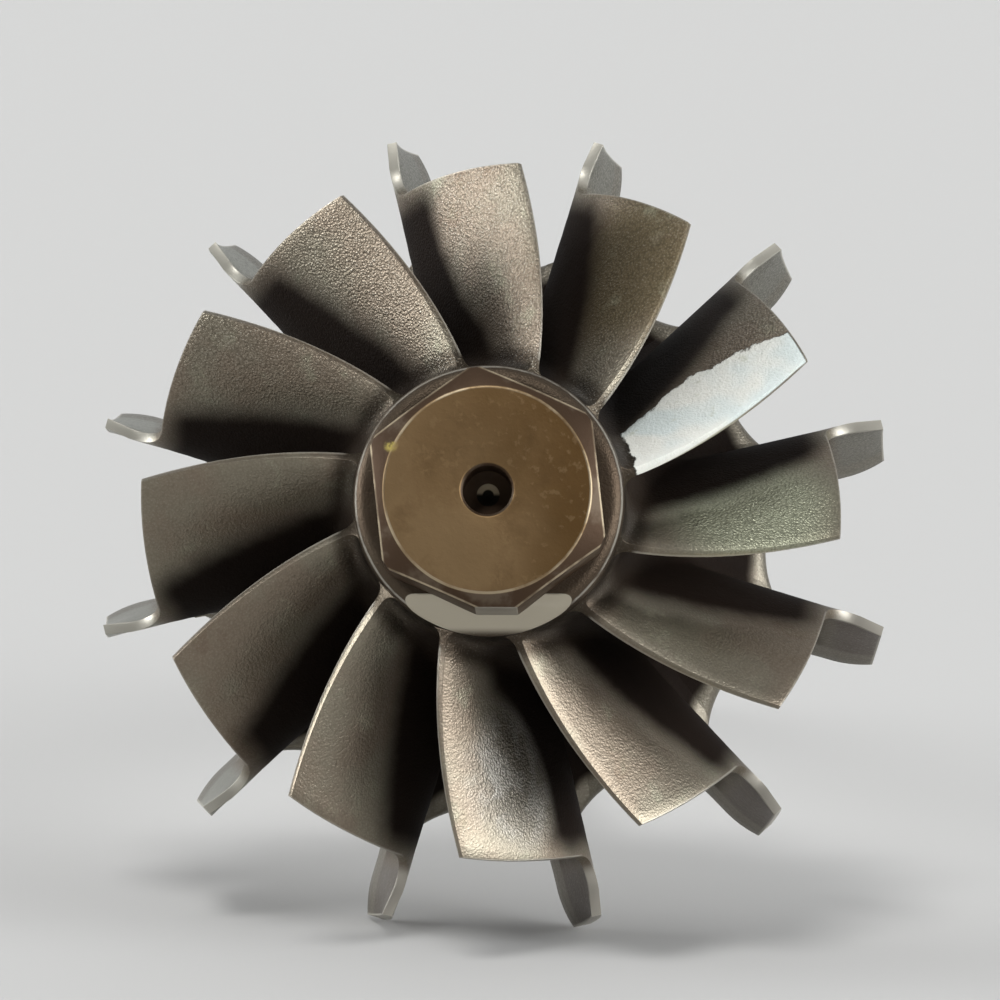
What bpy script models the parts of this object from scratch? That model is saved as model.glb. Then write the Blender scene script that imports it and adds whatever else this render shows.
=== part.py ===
"""Turbocharger turbine wheel on its shaft, as it lies on a table.

The wheel is one casting with twelve blades, a hexagon on its nose and a scalloped back disc. A steel
shaft is welded to its back. It rests on the rear corners of two blade tips and on the shaft's end, so
its nose points up at a slant. Stations are distances along the axis behind the nose's face.
"""

import math

import bmesh
import bpy

MM = 0.001

# Lies of the pieces about the axis, counter-clockwise seen from the nose, from the right-hand side
BLADE_COUNT = 12
BLADE_STEP = math.radians(360 / BLADE_COUNT)
FIRST_BLADE = BLADE_STEP / 2
HEX_CORNER = math.radians(38.6)
RING_SPLIT = math.radians(90)

# Hexagon nose
HEX_ACROSS_FLATS = 18.7 * MM
HEX_CORNER_RADIUS = 10.5 * MM
NOSE_FACE_RADIUS = 8.63 * MM
NOSE_CHAMFER = math.radians(30)
NOSE_LENGTH = 6.0 * MM
CENTRE_HOLE_RADIUS = 2.05 * MM
CENTRE_HOLE_DEPTH = 4.0 * MM
CENTRE_HOLE_CONE = 1.2 * MM

# Hub, whose outline is a quarter of an ellipse from the shoulder to the disc's front
HUB_RADIUS = 11.43 * MM
SHOULDER_ROUND = 1.3 * MM
HUB_START = 8.0 * MM
HUB_LENGTH = 28.4 * MM
HUB_RISE = 17.5 * MM
HUB_SPLIT = 31.0 * MM

# Back disc with a scallop between each two blades
DISC_RADIUS = 27.4 * MM
DISC_BACK = 37.4 * MM
DISC_BACK_SLOPE = 0.19
SCALLOP_RADIUS = 9.5 * MM
SCALLOP_CIRCLE = 33.35 * MM

# Blades
INLET_FRONT = 27.6 * MM
INLET_REAR = 36.8 * MM
INLET_RADIUS = 35.0 * MM
OUTLET_RADIUS = 29.85 * MM
OUTLET_ROOT = 9.0 * MM
OUTLET_TIP = 13.8 * MM
SHROUD_ROUND = 3.0 * MM
OUTLET_POWER = 1.85
OUTLET_BEND = math.radians(0.152) / MM**OUTLET_POWER
INLET_POWER = 2.0
INLET_BEND = math.radians(0.0255) / MM**INLET_POWER
TIP_THICKNESS = 0.85 * MM
REAR_THICKNESS = 1.5 * MM
ROOT_THICKENING = 0.07
OUTLET_EDGE = 0.55 * MM
OUTLET_EDGE_THICKENING = 0.016
OUTLET_TAPER = 8.0 * MM
SWEEP_START = 21.6 * MM
SWEEP_DEPTH = 3.5 * MM
SWEEP_FRONT = 0.45 * MM
SWEEP_REAR = -0.3 * MM
SWEEP_THICKENING = 0.6 * MM
SWEEP_POWER = 3
OUTLET_STATIONS = 5
ROUND_STATIONS = 3
LAND_STATIONS = 4
BLADE_ROWS = 5

# Boss with the groove for the seal ring
BOSS_RADIUS = 9.5 * MM
BOSS_FILLET = 2.0 * MM
BOSS_END = 50.0 * MM
BOSS_CHAMFER = 0.5 * MM
GROOVE_START = 44.8 * MM
GROOVE_WIDTH = 1.7 * MM
GROOVE_RADIUS = 8.1 * MM
WELD_RADIUS = 7.0 * MM
WELD_START = 51.0 * MM
WELD_END = 53.5 * MM
RING_RADIUS = 9.9 * MM
RING_INSIDE = 8.25 * MM
RING_WIDTH = 1.5 * MM
RING_OPENING = 0.5 * MM

# Shaft
JOURNAL_RADIUS = 5.5 * MM
JOURNAL_START = 55.0 * MM
JOURNAL_END = 76.0 * MM
RELIEF_RADIUS = 5.15 * MM
RELIEF_STEP = 0.6 * MM
FAR_JOURNAL_START = 96.0 * MM
FAR_JOURNAL_END = 114.0 * MM
SEAT_RADIUS = 4.0 * MM
THREAD_NECK = 143.0 * MM
THREAD_NECK_WIDTH = 1.6 * MM
THREAD_NECK_RADIUS = 3.3 * MM
THREAD_RADIUS = 3.95 * MM
SHAFT_END = 156.0 * MM
END_CHAMFER = 0.7 * MM
END_CENTRE_RADIUS = 1.3 * MM
END_CENTRE_DEPTH = 2.2 * MM

# Making
GAP = 0.1 * MM
ROOT_GAP = 0.15 * MM
ROUND_SIDES = 48
CUTTER_PAST = 3.0 * MM
MERGE = 0.00001

# Slant at which two blade tips and the shaft's end meet the table
TIP_HALF_ANGLE = REAR_THICKNESS / 2 / INLET_RADIUS
TIP_DROP = INLET_RADIUS * math.cos(FIRST_BLADE - TIP_HALF_ANGLE)
SLANT = math.atan((TIP_DROP - THREAD_RADIUS) / (SHAFT_END - END_CHAMFER - INLET_REAR))

CAST_COLOUR = (0.115, 0.095, 0.075, 1)
STEEL_COLOUR = (0.50, 0.49, 0.47, 1)
RING_COLOUR = (0.16, 0.15, 0.14, 1)


def clear_scene():
    """Remove every object that the file opens with."""
    for obj in list(bpy.data.objects):
        bpy.data.objects.remove(obj)


def new_collection(name):
    """Collection of this name under the scene's own."""
    collection = bpy.data.collections.new(name)
    bpy.context.scene.collection.children.link(collection)
    return collection


def new_material(name, colour, roughness, metallic):
    """Plain Principled finish."""
    material = bpy.data.materials.new(name)
    material.use_nodes = True
    shader = material.node_tree.nodes["Principled BSDF"]
    shader.inputs["Base Color"].default_value = colour
    shader.inputs["Roughness"].default_value = roughness
    shader.inputs["Metallic"].default_value = metallic
    material.diffuse_color = colour
    return material


def wheel_axis():
    """Empty at the middle of the nose's face: its Y runs back along the axis, slanting down."""
    empty = bpy.data.objects.new("wheel_axis", None)
    bpy.context.scene.collection.objects.link(empty)
    front = -NOSE_FACE_RADIUS * math.sin(SLANT)
    back = SHAFT_END * math.cos(SLANT) + (THREAD_RADIUS - END_CHAMFER) * math.sin(SLANT)
    height = TIP_DROP * math.cos(SLANT) + INLET_REAR * math.sin(SLANT)
    empty.location = (0, -(front + back) / 2, height)
    empty.rotation_euler = (-SLANT, 0, 0)
    return empty


def place(obj, collection, axis, material=None):
    """Put an object in its collection, on the wheel's axis, in its finish."""
    for other in list(obj.users_collection):
        other.objects.unlink(obj)
    collection.objects.link(obj)
    obj.parent = axis
    if material is not None:
        obj.data.materials.append(material)
    return obj


def make_cutter(obj):
    """Hide a shape that only cuts or bounds another."""
    obj.hide_render = True
    obj.display_type = "WIRE"
    return obj


def turned(name, outline, sides=ROUND_SIDES, closed=False):
    """Solid turned about Y from (station, radius) points that run from front to back."""
    points = [(radius, station, 0) for station, radius in reversed(outline)]
    edges = [(i, i + 1) for i in range(len(points) - 1)]
    if closed:
        edges.append((len(points) - 1, 0))
    mesh = bpy.data.meshes.new(name)
    mesh.from_pydata(points, edges, [])
    obj = bpy.data.objects.new(name, mesh)
    screw = obj.modifiers.new("turn", "SCREW")
    screw.axis = "Y"
    screw.steps = sides
    screw.render_steps = sides
    screw.use_merge_vertices = True
    screw.merge_threshold = MERGE
    return obj


def cut(obj, other, operation="DIFFERENCE"):
    """Boolean with another solid."""
    boolean = obj.modifiers.new(other.name, "BOOLEAN")
    boolean.operation = operation
    boolean.object = other
    boolean.solver = "EXACT"


def arc(centre, radius, start, end, steps):
    """(station, radius) points on an arc whose angles run from the axis's direction outwards."""
    turns = [start + (end - start) * i / steps for i in range(steps + 1)]
    return [
        (centre[0] + radius * math.cos(turn), centre[1] + radius * math.sin(turn))
        for turn in turns
    ]


def hub_point(turn, lift=0.0):
    """Point on the hub's outline at a turn of its ellipse, lifted off it by a distance."""
    station = HUB_START + HUB_LENGTH * math.sin(turn)
    radius = HUB_RADIUS + HUB_RISE * (1 - math.cos(turn))
    slope = math.hypot(HUB_RISE * math.sin(turn), HUB_LENGTH * math.cos(turn))
    station -= lift * HUB_RISE * math.sin(turn) / slope
    radius += lift * HUB_LENGTH * math.cos(turn) / slope
    return station, radius


def hub_turn_at(station):
    """Turn of the hub's ellipse at a station."""
    return math.asin((station - HUB_START) / HUB_LENGTH)


def hub_turn_at_rim():
    """Turn of the hub's ellipse where the disc ends."""
    return math.acos(1 - (DISC_RADIUS - HUB_RADIUS) / HUB_RISE)


def hub_run(start, end, steps):
    """Points of the hub's outline between two turns."""
    return [hub_point(start + (end - start) * i / steps) for i in range(steps + 1)]


def hex_nose(parts, cutters, axis, material):
    """Hexagon for a spanner, bevelled by a cone at its face and drilled on its centre."""
    bm = bmesh.new()
    radius = HEX_ACROSS_FLATS / 2 / math.cos(math.radians(30))
    ends = bmesh.ops.create_cone(
        bm, cap_ends=True, segments=6, radius1=radius, radius2=radius, depth=NOSE_LENGTH - GAP
    )
    bmesh.ops.translate(bm, verts=ends["verts"], vec=(0, 0, -(NOSE_LENGTH - GAP) / 2))
    mesh = bpy.data.meshes.new("hex_nose")
    bm.to_mesh(mesh)
    bm.free()
    nose = bpy.data.objects.new("hex_nose", mesh)
    first_corner = math.radians(90)
    nose.rotation_euler = (math.radians(90), first_corner - HEX_CORNER, 0)
    place(nose, parts, axis, material)
    chamfer = (HEX_CORNER_RADIUS - NOSE_FACE_RADIUS) * math.tan(NOSE_CHAMFER)
    outline = [
        (0, 0),
        (0, NOSE_FACE_RADIUS),
        (chamfer, HEX_CORNER_RADIUS),
        (NOSE_LENGTH + CUTTER_PAST, HEX_CORNER_RADIUS),
        (NOSE_LENGTH + CUTTER_PAST, 0),
    ]
    bound = make_cutter(turned("nose_turning", outline))
    place(bound, cutters, axis)
    cut(nose, bound, "INTERSECT")
    drill_outline = [
        (-CUTTER_PAST, 0),
        (-CUTTER_PAST, CENTRE_HOLE_RADIUS),
        (CENTRE_HOLE_DEPTH, CENTRE_HOLE_RADIUS),
        (CENTRE_HOLE_DEPTH + CENTRE_HOLE_CONE, 0),
    ]
    drill = make_cutter(turned("centre_drill", drill_outline, ROUND_SIDES // 2))
    place(drill, cutters, axis)
    cut(nose, drill)


def hub(parts, axis, material):
    """Hub from its rounded shoulder behind the nose to the back disc."""
    shoulder = arc(
        (NOSE_LENGTH + SHOULDER_ROUND, HUB_RADIUS - SHOULDER_ROUND),
        SHOULDER_ROUND,
        math.radians(180),
        math.radians(90),
        3,
    )
    flank = hub_run(0, hub_turn_at(HUB_SPLIT - GAP), 7)
    outline = [(NOSE_LENGTH, 0)] + shoulder + flank + [(HUB_SPLIT - GAP, 0)]
    place(turned("hub", outline), parts, axis, material)


def disc_back(radius):
    """Station of the disc's conical back at a radius."""
    return DISC_BACK + DISC_BACK_SLOPE * (DISC_RADIUS - radius)


def back_disc(parts, cutters, axis, material):
    """Disc behind the blades, with a round scallop cut between each two of them."""
    flank = hub_run(hub_turn_at(HUB_SPLIT), hub_turn_at_rim(), 5)
    fillet_end = disc_back(BOSS_RADIUS + BOSS_FILLET) + BOSS_FILLET
    fillet = arc(
        (fillet_end, BOSS_RADIUS + BOSS_FILLET),
        BOSS_FILLET,
        math.radians(180),
        math.radians(270),
        3,
    )
    outline = [(HUB_SPLIT, 0)] + flank + [(DISC_BACK, DISC_RADIUS)] + fillet + [(fillet_end, 0)]
    disc = place(turned("back_disc", outline), parts, axis, material)
    for index in range(BLADE_COUNT):
        scallop = scallop_cutter(index)
        place(scallop, cutters, axis)
        cut(disc, scallop)
    return fillet_end


def scallop_cutter(index):
    """Round bar along the axis, in the middle between two blades."""
    start = HUB_SPLIT - CUTTER_PAST
    end = DISC_BACK + CUTTER_PAST
    outline = [(start, 0), (start, SCALLOP_RADIUS), (end, SCALLOP_RADIUS), (end, 0)]
    bar = make_cutter(turned(f"scallop_{index + 1:02d}", outline))
    angle = BLADE_STEP * index
    bar.location = (SCALLOP_CIRCLE * math.cos(angle), 0, SCALLOP_CIRCLE * math.sin(angle))
    return bar


def seal_boss(start, parts, axis, material):
    """Boss behind the disc with the seal ring's groove, down to the shaft's weld."""
    groove_end = GROOVE_START + GROOVE_WIDTH
    outline = [
        (start, 0),
        (start, BOSS_RADIUS),
        (GROOVE_START, BOSS_RADIUS),
        (GROOVE_START, GROOVE_RADIUS),
        (groove_end, GROOVE_RADIUS),
        (groove_end, BOSS_RADIUS),
        (BOSS_END - BOSS_CHAMFER, BOSS_RADIUS),
        (BOSS_END, BOSS_RADIUS - BOSS_CHAMFER),
        (BOSS_END, WELD_RADIUS),
        (WELD_START, WELD_RADIUS),
        (WELD_START, 0),
    ]
    place(turned("seal_boss", outline), parts, axis, material)


def seal_ring(parts, cutters, axis, material):
    """Split ring that stands a little proud of its groove."""
    start = GROOVE_START + (GROOVE_WIDTH - RING_WIDTH) / 2
    end = start + RING_WIDTH
    outline = [(start, RING_INSIDE), (start, RING_RADIUS), (end, RING_RADIUS), (end, RING_INSIDE)]
    ring = place(turned("seal_ring", outline, closed=True), parts, axis, material)
    bm = bmesh.new()
    bmesh.ops.create_cube(bm, size=1)
    height = RING_RADIUS - RING_INSIDE + 2 * CUTTER_PAST
    bmesh.ops.scale(bm, verts=bm.verts, vec=(height, RING_WIDTH + 2 * CUTTER_PAST, RING_OPENING))
    middle = (RING_RADIUS + RING_INSIDE) / 2
    bmesh.ops.translate(bm, verts=bm.verts, vec=(middle, (start + end) / 2, 0))
    mesh = bpy.data.meshes.new("ring_split")
    bm.to_mesh(mesh)
    bm.free()
    split = make_cutter(bpy.data.objects.new("ring_split", mesh))
    split.rotation_euler = (0, -RING_SPLIT, 0)
    place(split, cutters, axis)
    cut(ring, split)


def shaft(parts, axis, material):
    """Steel shaft: two bearing journals, the far wheel's seat and the thread for its nut."""
    neck_end = THREAD_NECK + THREAD_NECK_WIDTH
    outline = [
        (WELD_START + GAP, 0),
        (WELD_START + GAP, WELD_RADIUS),
        (WELD_END, WELD_RADIUS),
        (JOURNAL_START, JOURNAL_RADIUS),
        (JOURNAL_END, JOURNAL_RADIUS),
        (JOURNAL_END + RELIEF_STEP, RELIEF_RADIUS),
        (FAR_JOURNAL_START - RELIEF_STEP, RELIEF_RADIUS),
        (FAR_JOURNAL_START, JOURNAL_RADIUS),
        (FAR_JOURNAL_END, JOURNAL_RADIUS),
        (FAR_JOURNAL_END, SEAT_RADIUS),
        (THREAD_NECK, SEAT_RADIUS),
        (THREAD_NECK, THREAD_NECK_RADIUS),
        (neck_end, THREAD_NECK_RADIUS),
        (neck_end, THREAD_RADIUS),
        (SHAFT_END - END_CHAMFER, THREAD_RADIUS),
        (SHAFT_END, THREAD_RADIUS - END_CHAMFER),
        (SHAFT_END, END_CENTRE_RADIUS),
        (SHAFT_END - END_CENTRE_DEPTH, 0),
    ]
    place(turned("shaft", outline), parts, axis, material)


def blade_angle(station):
    """Angle of the blade's middle surface about the axis, from its rear edge."""

    rear = INLET_BEND * (INLET_REAR - INLET_FRONT) ** INLET_POWER
    if station < INLET_FRONT:
        return rear - OUTLET_BEND * (INLET_FRONT - station) ** OUTLET_POWER
    return rear - INLET_BEND * (station - INLET_FRONT) ** INLET_POWER


def blade_slope(station):
    """Change of the blade's angle along the axis."""
    if station < INLET_FRONT:
        return OUTLET_POWER * OUTLET_BEND * (INLET_FRONT - station) ** (OUTLET_POWER - 1)
    return -INLET_POWER * INLET_BEND * (station - INLET_FRONT) ** (INLET_POWER - 1)


def share_of(value, start, end):
    """How far a value has gone from start to end, from 0 to 1."""
    return min(1.0, max(0.0, (value - start) / (end - start)))


def below_tip(radius):
    """Smooth share of the inlet's sweep at a radius: none at the tip, all of it further in."""
    share = share_of(radius, INLET_RADIUS, INLET_RADIUS - SWEEP_DEPTH)
    return share * (2 - share)


def blade_sweep(station, radius):
    """Sideways shift of the inlet's part of the blade, which isn't quite radial."""
    if station < INLET_FRONT:
        shift = SWEEP_FRONT * share_of(station, SWEEP_START, INLET_FRONT)
    else:
        forward = share_of(station, INLET_REAR, INLET_FRONT)
        shift = SWEEP_REAR + (SWEEP_FRONT - SWEEP_REAR) * forward**SWEEP_POWER
    return shift * below_tip(radius)


def outlet_station(radius):
    """Station of the outlet edge at a radius."""
    share = share_of(radius, HUB_RADIUS, OUTLET_RADIUS)
    return OUTLET_ROOT + (OUTLET_TIP - OUTLET_ROOT) * share


def blade_thickness(station, radius):
    """Thickness across the blade: thin at the outlet edge, growing towards root and rear edge."""
    rearward = share_of(station, INLET_FRONT, INLET_REAR)
    inward = max(0.0, OUTLET_RADIUS - radius)
    full = TIP_THICKNESS + (REAR_THICKNESS - TIP_THICKNESS) * rearward + ROOT_THICKENING * inward
    full += SWEEP_THICKENING * rearward * below_tip(radius)
    edge = OUTLET_EDGE + OUTLET_EDGE_THICKENING * inward
    start = outlet_station(radius)
    before = 1 - share_of(station, start, start + OUTLET_TAPER)
    return full - (full - edge) * before**2


def blade_point(station, radius, side, root_share):
    """Point on the blade's counter-clockwise face (side 1) or its other face (side -1).

    The point is set off square to the middle surface. Ahead of the inlet that moves it along the
    axis too, so a point at the root (root_share 1) then goes back onto the hub.
    """
    angle = blade_angle(station)
    slope = radius * blade_slope(station)
    length = math.hypot(1, slope)
    half = side * blade_thickness(station, radius) / 2
    across = half * length
    if station < INLET_FRONT:
        across = half / length
        moved = station - half * slope / length
        start = HUB_START + ROOT_GAP
        rise = [hub_point(hub_turn_at(max(x, start)))[1] for x in (station, moved)]
        radius += (rise[1] - rise[0]) * root_share
        station = moved
    across += blade_sweep(station, radius)
    return (
        radius * math.cos(angle) - across * math.sin(angle),
        station,
        radius * math.sin(angle) + across * math.cos(angle),
    )


def blade_tips():
    """Outline of the blade's free edge: outlet radius, rounded step up to the inlet, tip land."""
    step = INLET_FRONT - SHROUD_ROUND
    last = OUTLET_STATIONS - 1
    outlet = [
        (OUTLET_TIP + (step - OUTLET_TIP) * i / last, OUTLET_RADIUS) for i in range(last)
    ]
    centre = (step, OUTLET_RADIUS + SHROUD_ROUND)
    rounding = arc(centre, SHROUD_ROUND, math.radians(-90), 0, ROUND_STATIONS)
    land = [
        (INLET_FRONT + (INLET_REAR - INLET_FRONT) * i / (LAND_STATIONS - 1), INLET_RADIUS)
        for i in range(LAND_STATIONS)
    ]
    return outlet + rounding + land


def blade_roots(count):
    """Outline of the blade's root: along the hub and over the end of the disc."""
    start = hub_turn_at(OUTLET_ROOT)
    end = hub_turn_at_rim()
    last = count - 2
    along_hub = [hub_point(start + (end - start) * i / last, ROOT_GAP) for i in range(last + 1)]
    return along_hub + [(DISC_BACK, DISC_RADIUS + ROOT_GAP)]


def blade_face(bm, roots, tips, side):
    """Grid of vertices on one face of the blade, a row for each step from root to tip."""
    grid = []
    for row in range(BLADE_ROWS):
        share = row / (BLADE_ROWS - 1)
        line = []
        for root, tip in zip(roots, tips):
            station = root[0] + (tip[0] - root[0]) * share
            radius = root[1] + (tip[1] - root[1]) * share
            line.append(bm.verts.new(blade_point(station, radius, side, 1 - share)))
        grid.append(line)
    return grid


def rim_of(grid):
    """Vertices round the edge of a grid."""
    front = [line[0] for line in grid[1:-1]]
    rear = [line[-1] for line in grid[1:-1]]
    return grid[0] + rear + grid[-1][::-1] + front[::-1]


def blade_mesh():
    """Blade lofted between its root and its free edge, whose outlines differ."""
    bm = bmesh.new()
    tips = blade_tips()
    roots = blade_roots(len(tips))
    faces = [blade_face(bm, roots, tips, side) for side in (1, -1)]
    for grid in faces:
        for lower, upper in zip(grid, grid[1:]):
            for i in range(len(lower) - 1):
                bm.faces.new((lower[i], lower[i + 1], upper[i + 1], upper[i]))
    rims = [rim_of(grid) for grid in faces]
    count = len(rims[0])
    for i in range(count):
        after = (i + 1) % count
        bm.faces.new((rims[0][i], rims[0][after], rims[1][after], rims[1][i]))
    bmesh.ops.recalc_face_normals(bm, faces=bm.faces)
    mesh = bpy.data.meshes.new("blade")
    bm.to_mesh(mesh)
    bm.free()
    return mesh


def blades(parts, axis, material):
    """Twelve like blades, one object each."""
    mesh = blade_mesh()
    mesh.materials.append(material)
    for index in range(BLADE_COUNT):
        blade = bpy.data.objects.new(f"blade_{index + 1:02d}", mesh)
        blade.rotation_euler = (0, -(FIRST_BLADE + BLADE_STEP * index), 0)
        place(blade, parts, axis)


def shade_round(parts):
    """Shade the turned pieces and the blades smooth, with their real edges sharp."""
    for mesh in {obj.data for obj in parts.objects}:
        if mesh.polygons:
            mesh.shade_smooth()
            mesh.set_sharp_from_angle(angle=math.radians(35))


def main():
    """Build the wheel."""
    clear_scene()
    parts = new_collection("turbine_wheel")
    cutters = new_collection("cutters")
    cast = new_material("cast_alloy", CAST_COLOUR, 0.55, 0.8)
    steel = new_material("shaft_steel", STEEL_COLOUR, 0.3, 1.0)
    ring_iron = new_material("ring_iron", RING_COLOUR, 0.4, 0.9)
    axis = wheel_axis()
    hex_nose(parts, cutters, axis, cast)
    hub(parts, axis, cast)
    disc_end = back_disc(parts, cutters, axis, cast)
    blades(parts, axis, cast)
    seal_boss(disc_end + GAP, parts, axis, cast)
    seal_ring(parts, cutters, axis, ring_iron)
    shaft(parts, axis, steel)
    shade_round(parts)


if __name__ == "__main__":
    main()
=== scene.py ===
"""Looks of a turbocharger turbine wheel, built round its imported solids.

The casting, its blades and its shaft are modelled again with fillets, rounded edges and a real
thread, and are given cast, machined and ground finishes. Stations are distances along the wheel's
axis behind the nose's face. The wheel's own frame has Y along that axis and Z up and across it.
"""

from __future__ import annotations

import logging
import math
from collections.abc import Callable
from dataclasses import dataclass
from enum import Enum

import bpy
from mathutils import Matrix, Vector

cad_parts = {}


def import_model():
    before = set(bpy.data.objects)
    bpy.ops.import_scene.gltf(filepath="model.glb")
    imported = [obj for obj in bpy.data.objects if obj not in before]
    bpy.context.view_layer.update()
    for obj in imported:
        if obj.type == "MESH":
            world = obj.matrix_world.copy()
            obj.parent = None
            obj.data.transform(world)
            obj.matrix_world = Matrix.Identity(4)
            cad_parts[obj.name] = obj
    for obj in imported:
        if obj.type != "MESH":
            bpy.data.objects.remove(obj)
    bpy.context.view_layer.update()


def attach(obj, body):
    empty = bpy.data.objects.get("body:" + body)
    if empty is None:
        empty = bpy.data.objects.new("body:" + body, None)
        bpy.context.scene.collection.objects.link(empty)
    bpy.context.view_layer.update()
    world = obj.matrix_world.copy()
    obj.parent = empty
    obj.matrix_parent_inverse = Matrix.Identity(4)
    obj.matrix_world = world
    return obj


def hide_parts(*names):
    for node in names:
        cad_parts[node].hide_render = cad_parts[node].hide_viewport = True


LOG = logging.getLogger("turbine_wheel")
MM = 0.001
MERGE_DISTANCE = 0.002 * MM
BLADE_COUNT = 12
NOSE_RADIUS = 8.63 * MM
NOSE_CHAMFER = math.radians(30)

Object = bpy.types.Object
Material = bpy.types.Material
Socket = bpy.types.NodeSocket
Point = tuple[float, float]
Span = tuple[float, float]
Colour = tuple[float, float, float]


class Slot(Enum):
    """Names of the finishes."""

    CAST = "cast_alloy"
    STEEL = "shaft_steel"
    RING = "ring_iron"


class Join(Enum):
    """What a Boolean leaves of two shapes."""

    CUT = "DIFFERENCE"
    SHARED = "INTERSECT"


class Side(Enum):
    """Faces of a blade, seen from the nose."""

    COUNTER_CLOCKWISE = 1
    CLOCKWISE = -1


# ---------------------------------------------------------------- forms that pieces share


def share_of(value: float, start: float, end: float) -> float:
    """How far a value has gone from start to end.

    Args:
        value: The value.
        start: Where the share is 0.
        end: Where the share is 1.

    Returns:
        The share, held between 0 and 1.
    """
    return min(1.0, max(0.0, (value - start) / (end - start)))


def quarter_turn(steps: int) -> list[Point]:
    """Divide a quarter of a circle of radius 1 that starts along the axis.

    Args:
        steps: How many parts it has.

    Returns:
        Way along the axis and way out from it at each step.
    """
    turns = [math.radians(90) * step / steps for step in range(steps + 1)]
    return [(math.sin(turn), 1 - math.cos(turn)) for turn in turns]


@dataclass(frozen=True)
class HubForm:
    """Outline of the hub: a quarter of an ellipse from its shoulder to the disc."""

    radius: float = 11.43 * MM
    start: float = 8.0 * MM
    length: float = 28.4 * MM
    rise: float = 17.5 * MM
    nose_end: float = 6.0 * MM
    shoulder_round: float = 1.3 * MM
    disc_radius: float = 27.4 * MM
    disc_back: float = 37.4 * MM
    back_slope: float = 0.19

    def point(self, turn: float) -> Point:
        """Station and radius at a turn of the ellipse."""
        station = self.start + self.length * math.sin(turn)
        return station, self.radius + self.rise * (1 - math.cos(turn))

    def turn_at(self, station: float) -> float:
        """Turn of the ellipse at a station."""
        return math.asin(share_of(station, self.start, self.start + self.length))

    def turn_at_radius(self, radius: float) -> float:
        """Turn of the ellipse at a radius."""
        return math.acos(1 - (radius - self.radius) / self.rise)

    def radius_at(self, station: float) -> float:
        """Radius of the hub at a station."""
        return self.point(self.turn_at(station))[1]

    def back_at(self, radius: float) -> float:
        """Station of the disc's conical back at a radius."""
        return self.disc_back + self.back_slope * (self.disc_radius - radius)


@dataclass(frozen=True)
class Scallops:
    """Round bites out of the disc's rim, midway between the blades."""

    count: int = BLADE_COUNT
    radius: float = 9.5 * MM
    circle: float = 33.35 * MM

    def rim_at(self, angle: float, disc_radius: float) -> float:
        """Radius of the rim at an angle about the axis.

        Args:
            angle: Angle about the axis.
            disc_radius: Radius of the disc before it was scalloped.

        Returns:
            The rim's radius there.
        """
        step = 2 * math.pi / self.count
        off = (angle + step / 2) % step - step / 2
        aside = self.circle * math.sin(off)
        if abs(aside) >= self.radius:
            return disc_radius
        reach = math.sqrt(self.radius**2 - aside**2)
        return min(disc_radius, self.circle * math.cos(off) - reach)

    def land_at(self, radius: float) -> float:
        """Half width of the metal that is left under a blade at a radius.

        Args:
            radius: Distance from the axis.

        Returns:
            The half width between two scallops.
        """
        reach = radius**2 + self.circle**2 - self.radius**2
        bite = math.acos(min(1.0, reach / (2 * radius * self.circle)))
        return radius * math.sin(math.pi / self.count - bite)


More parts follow.
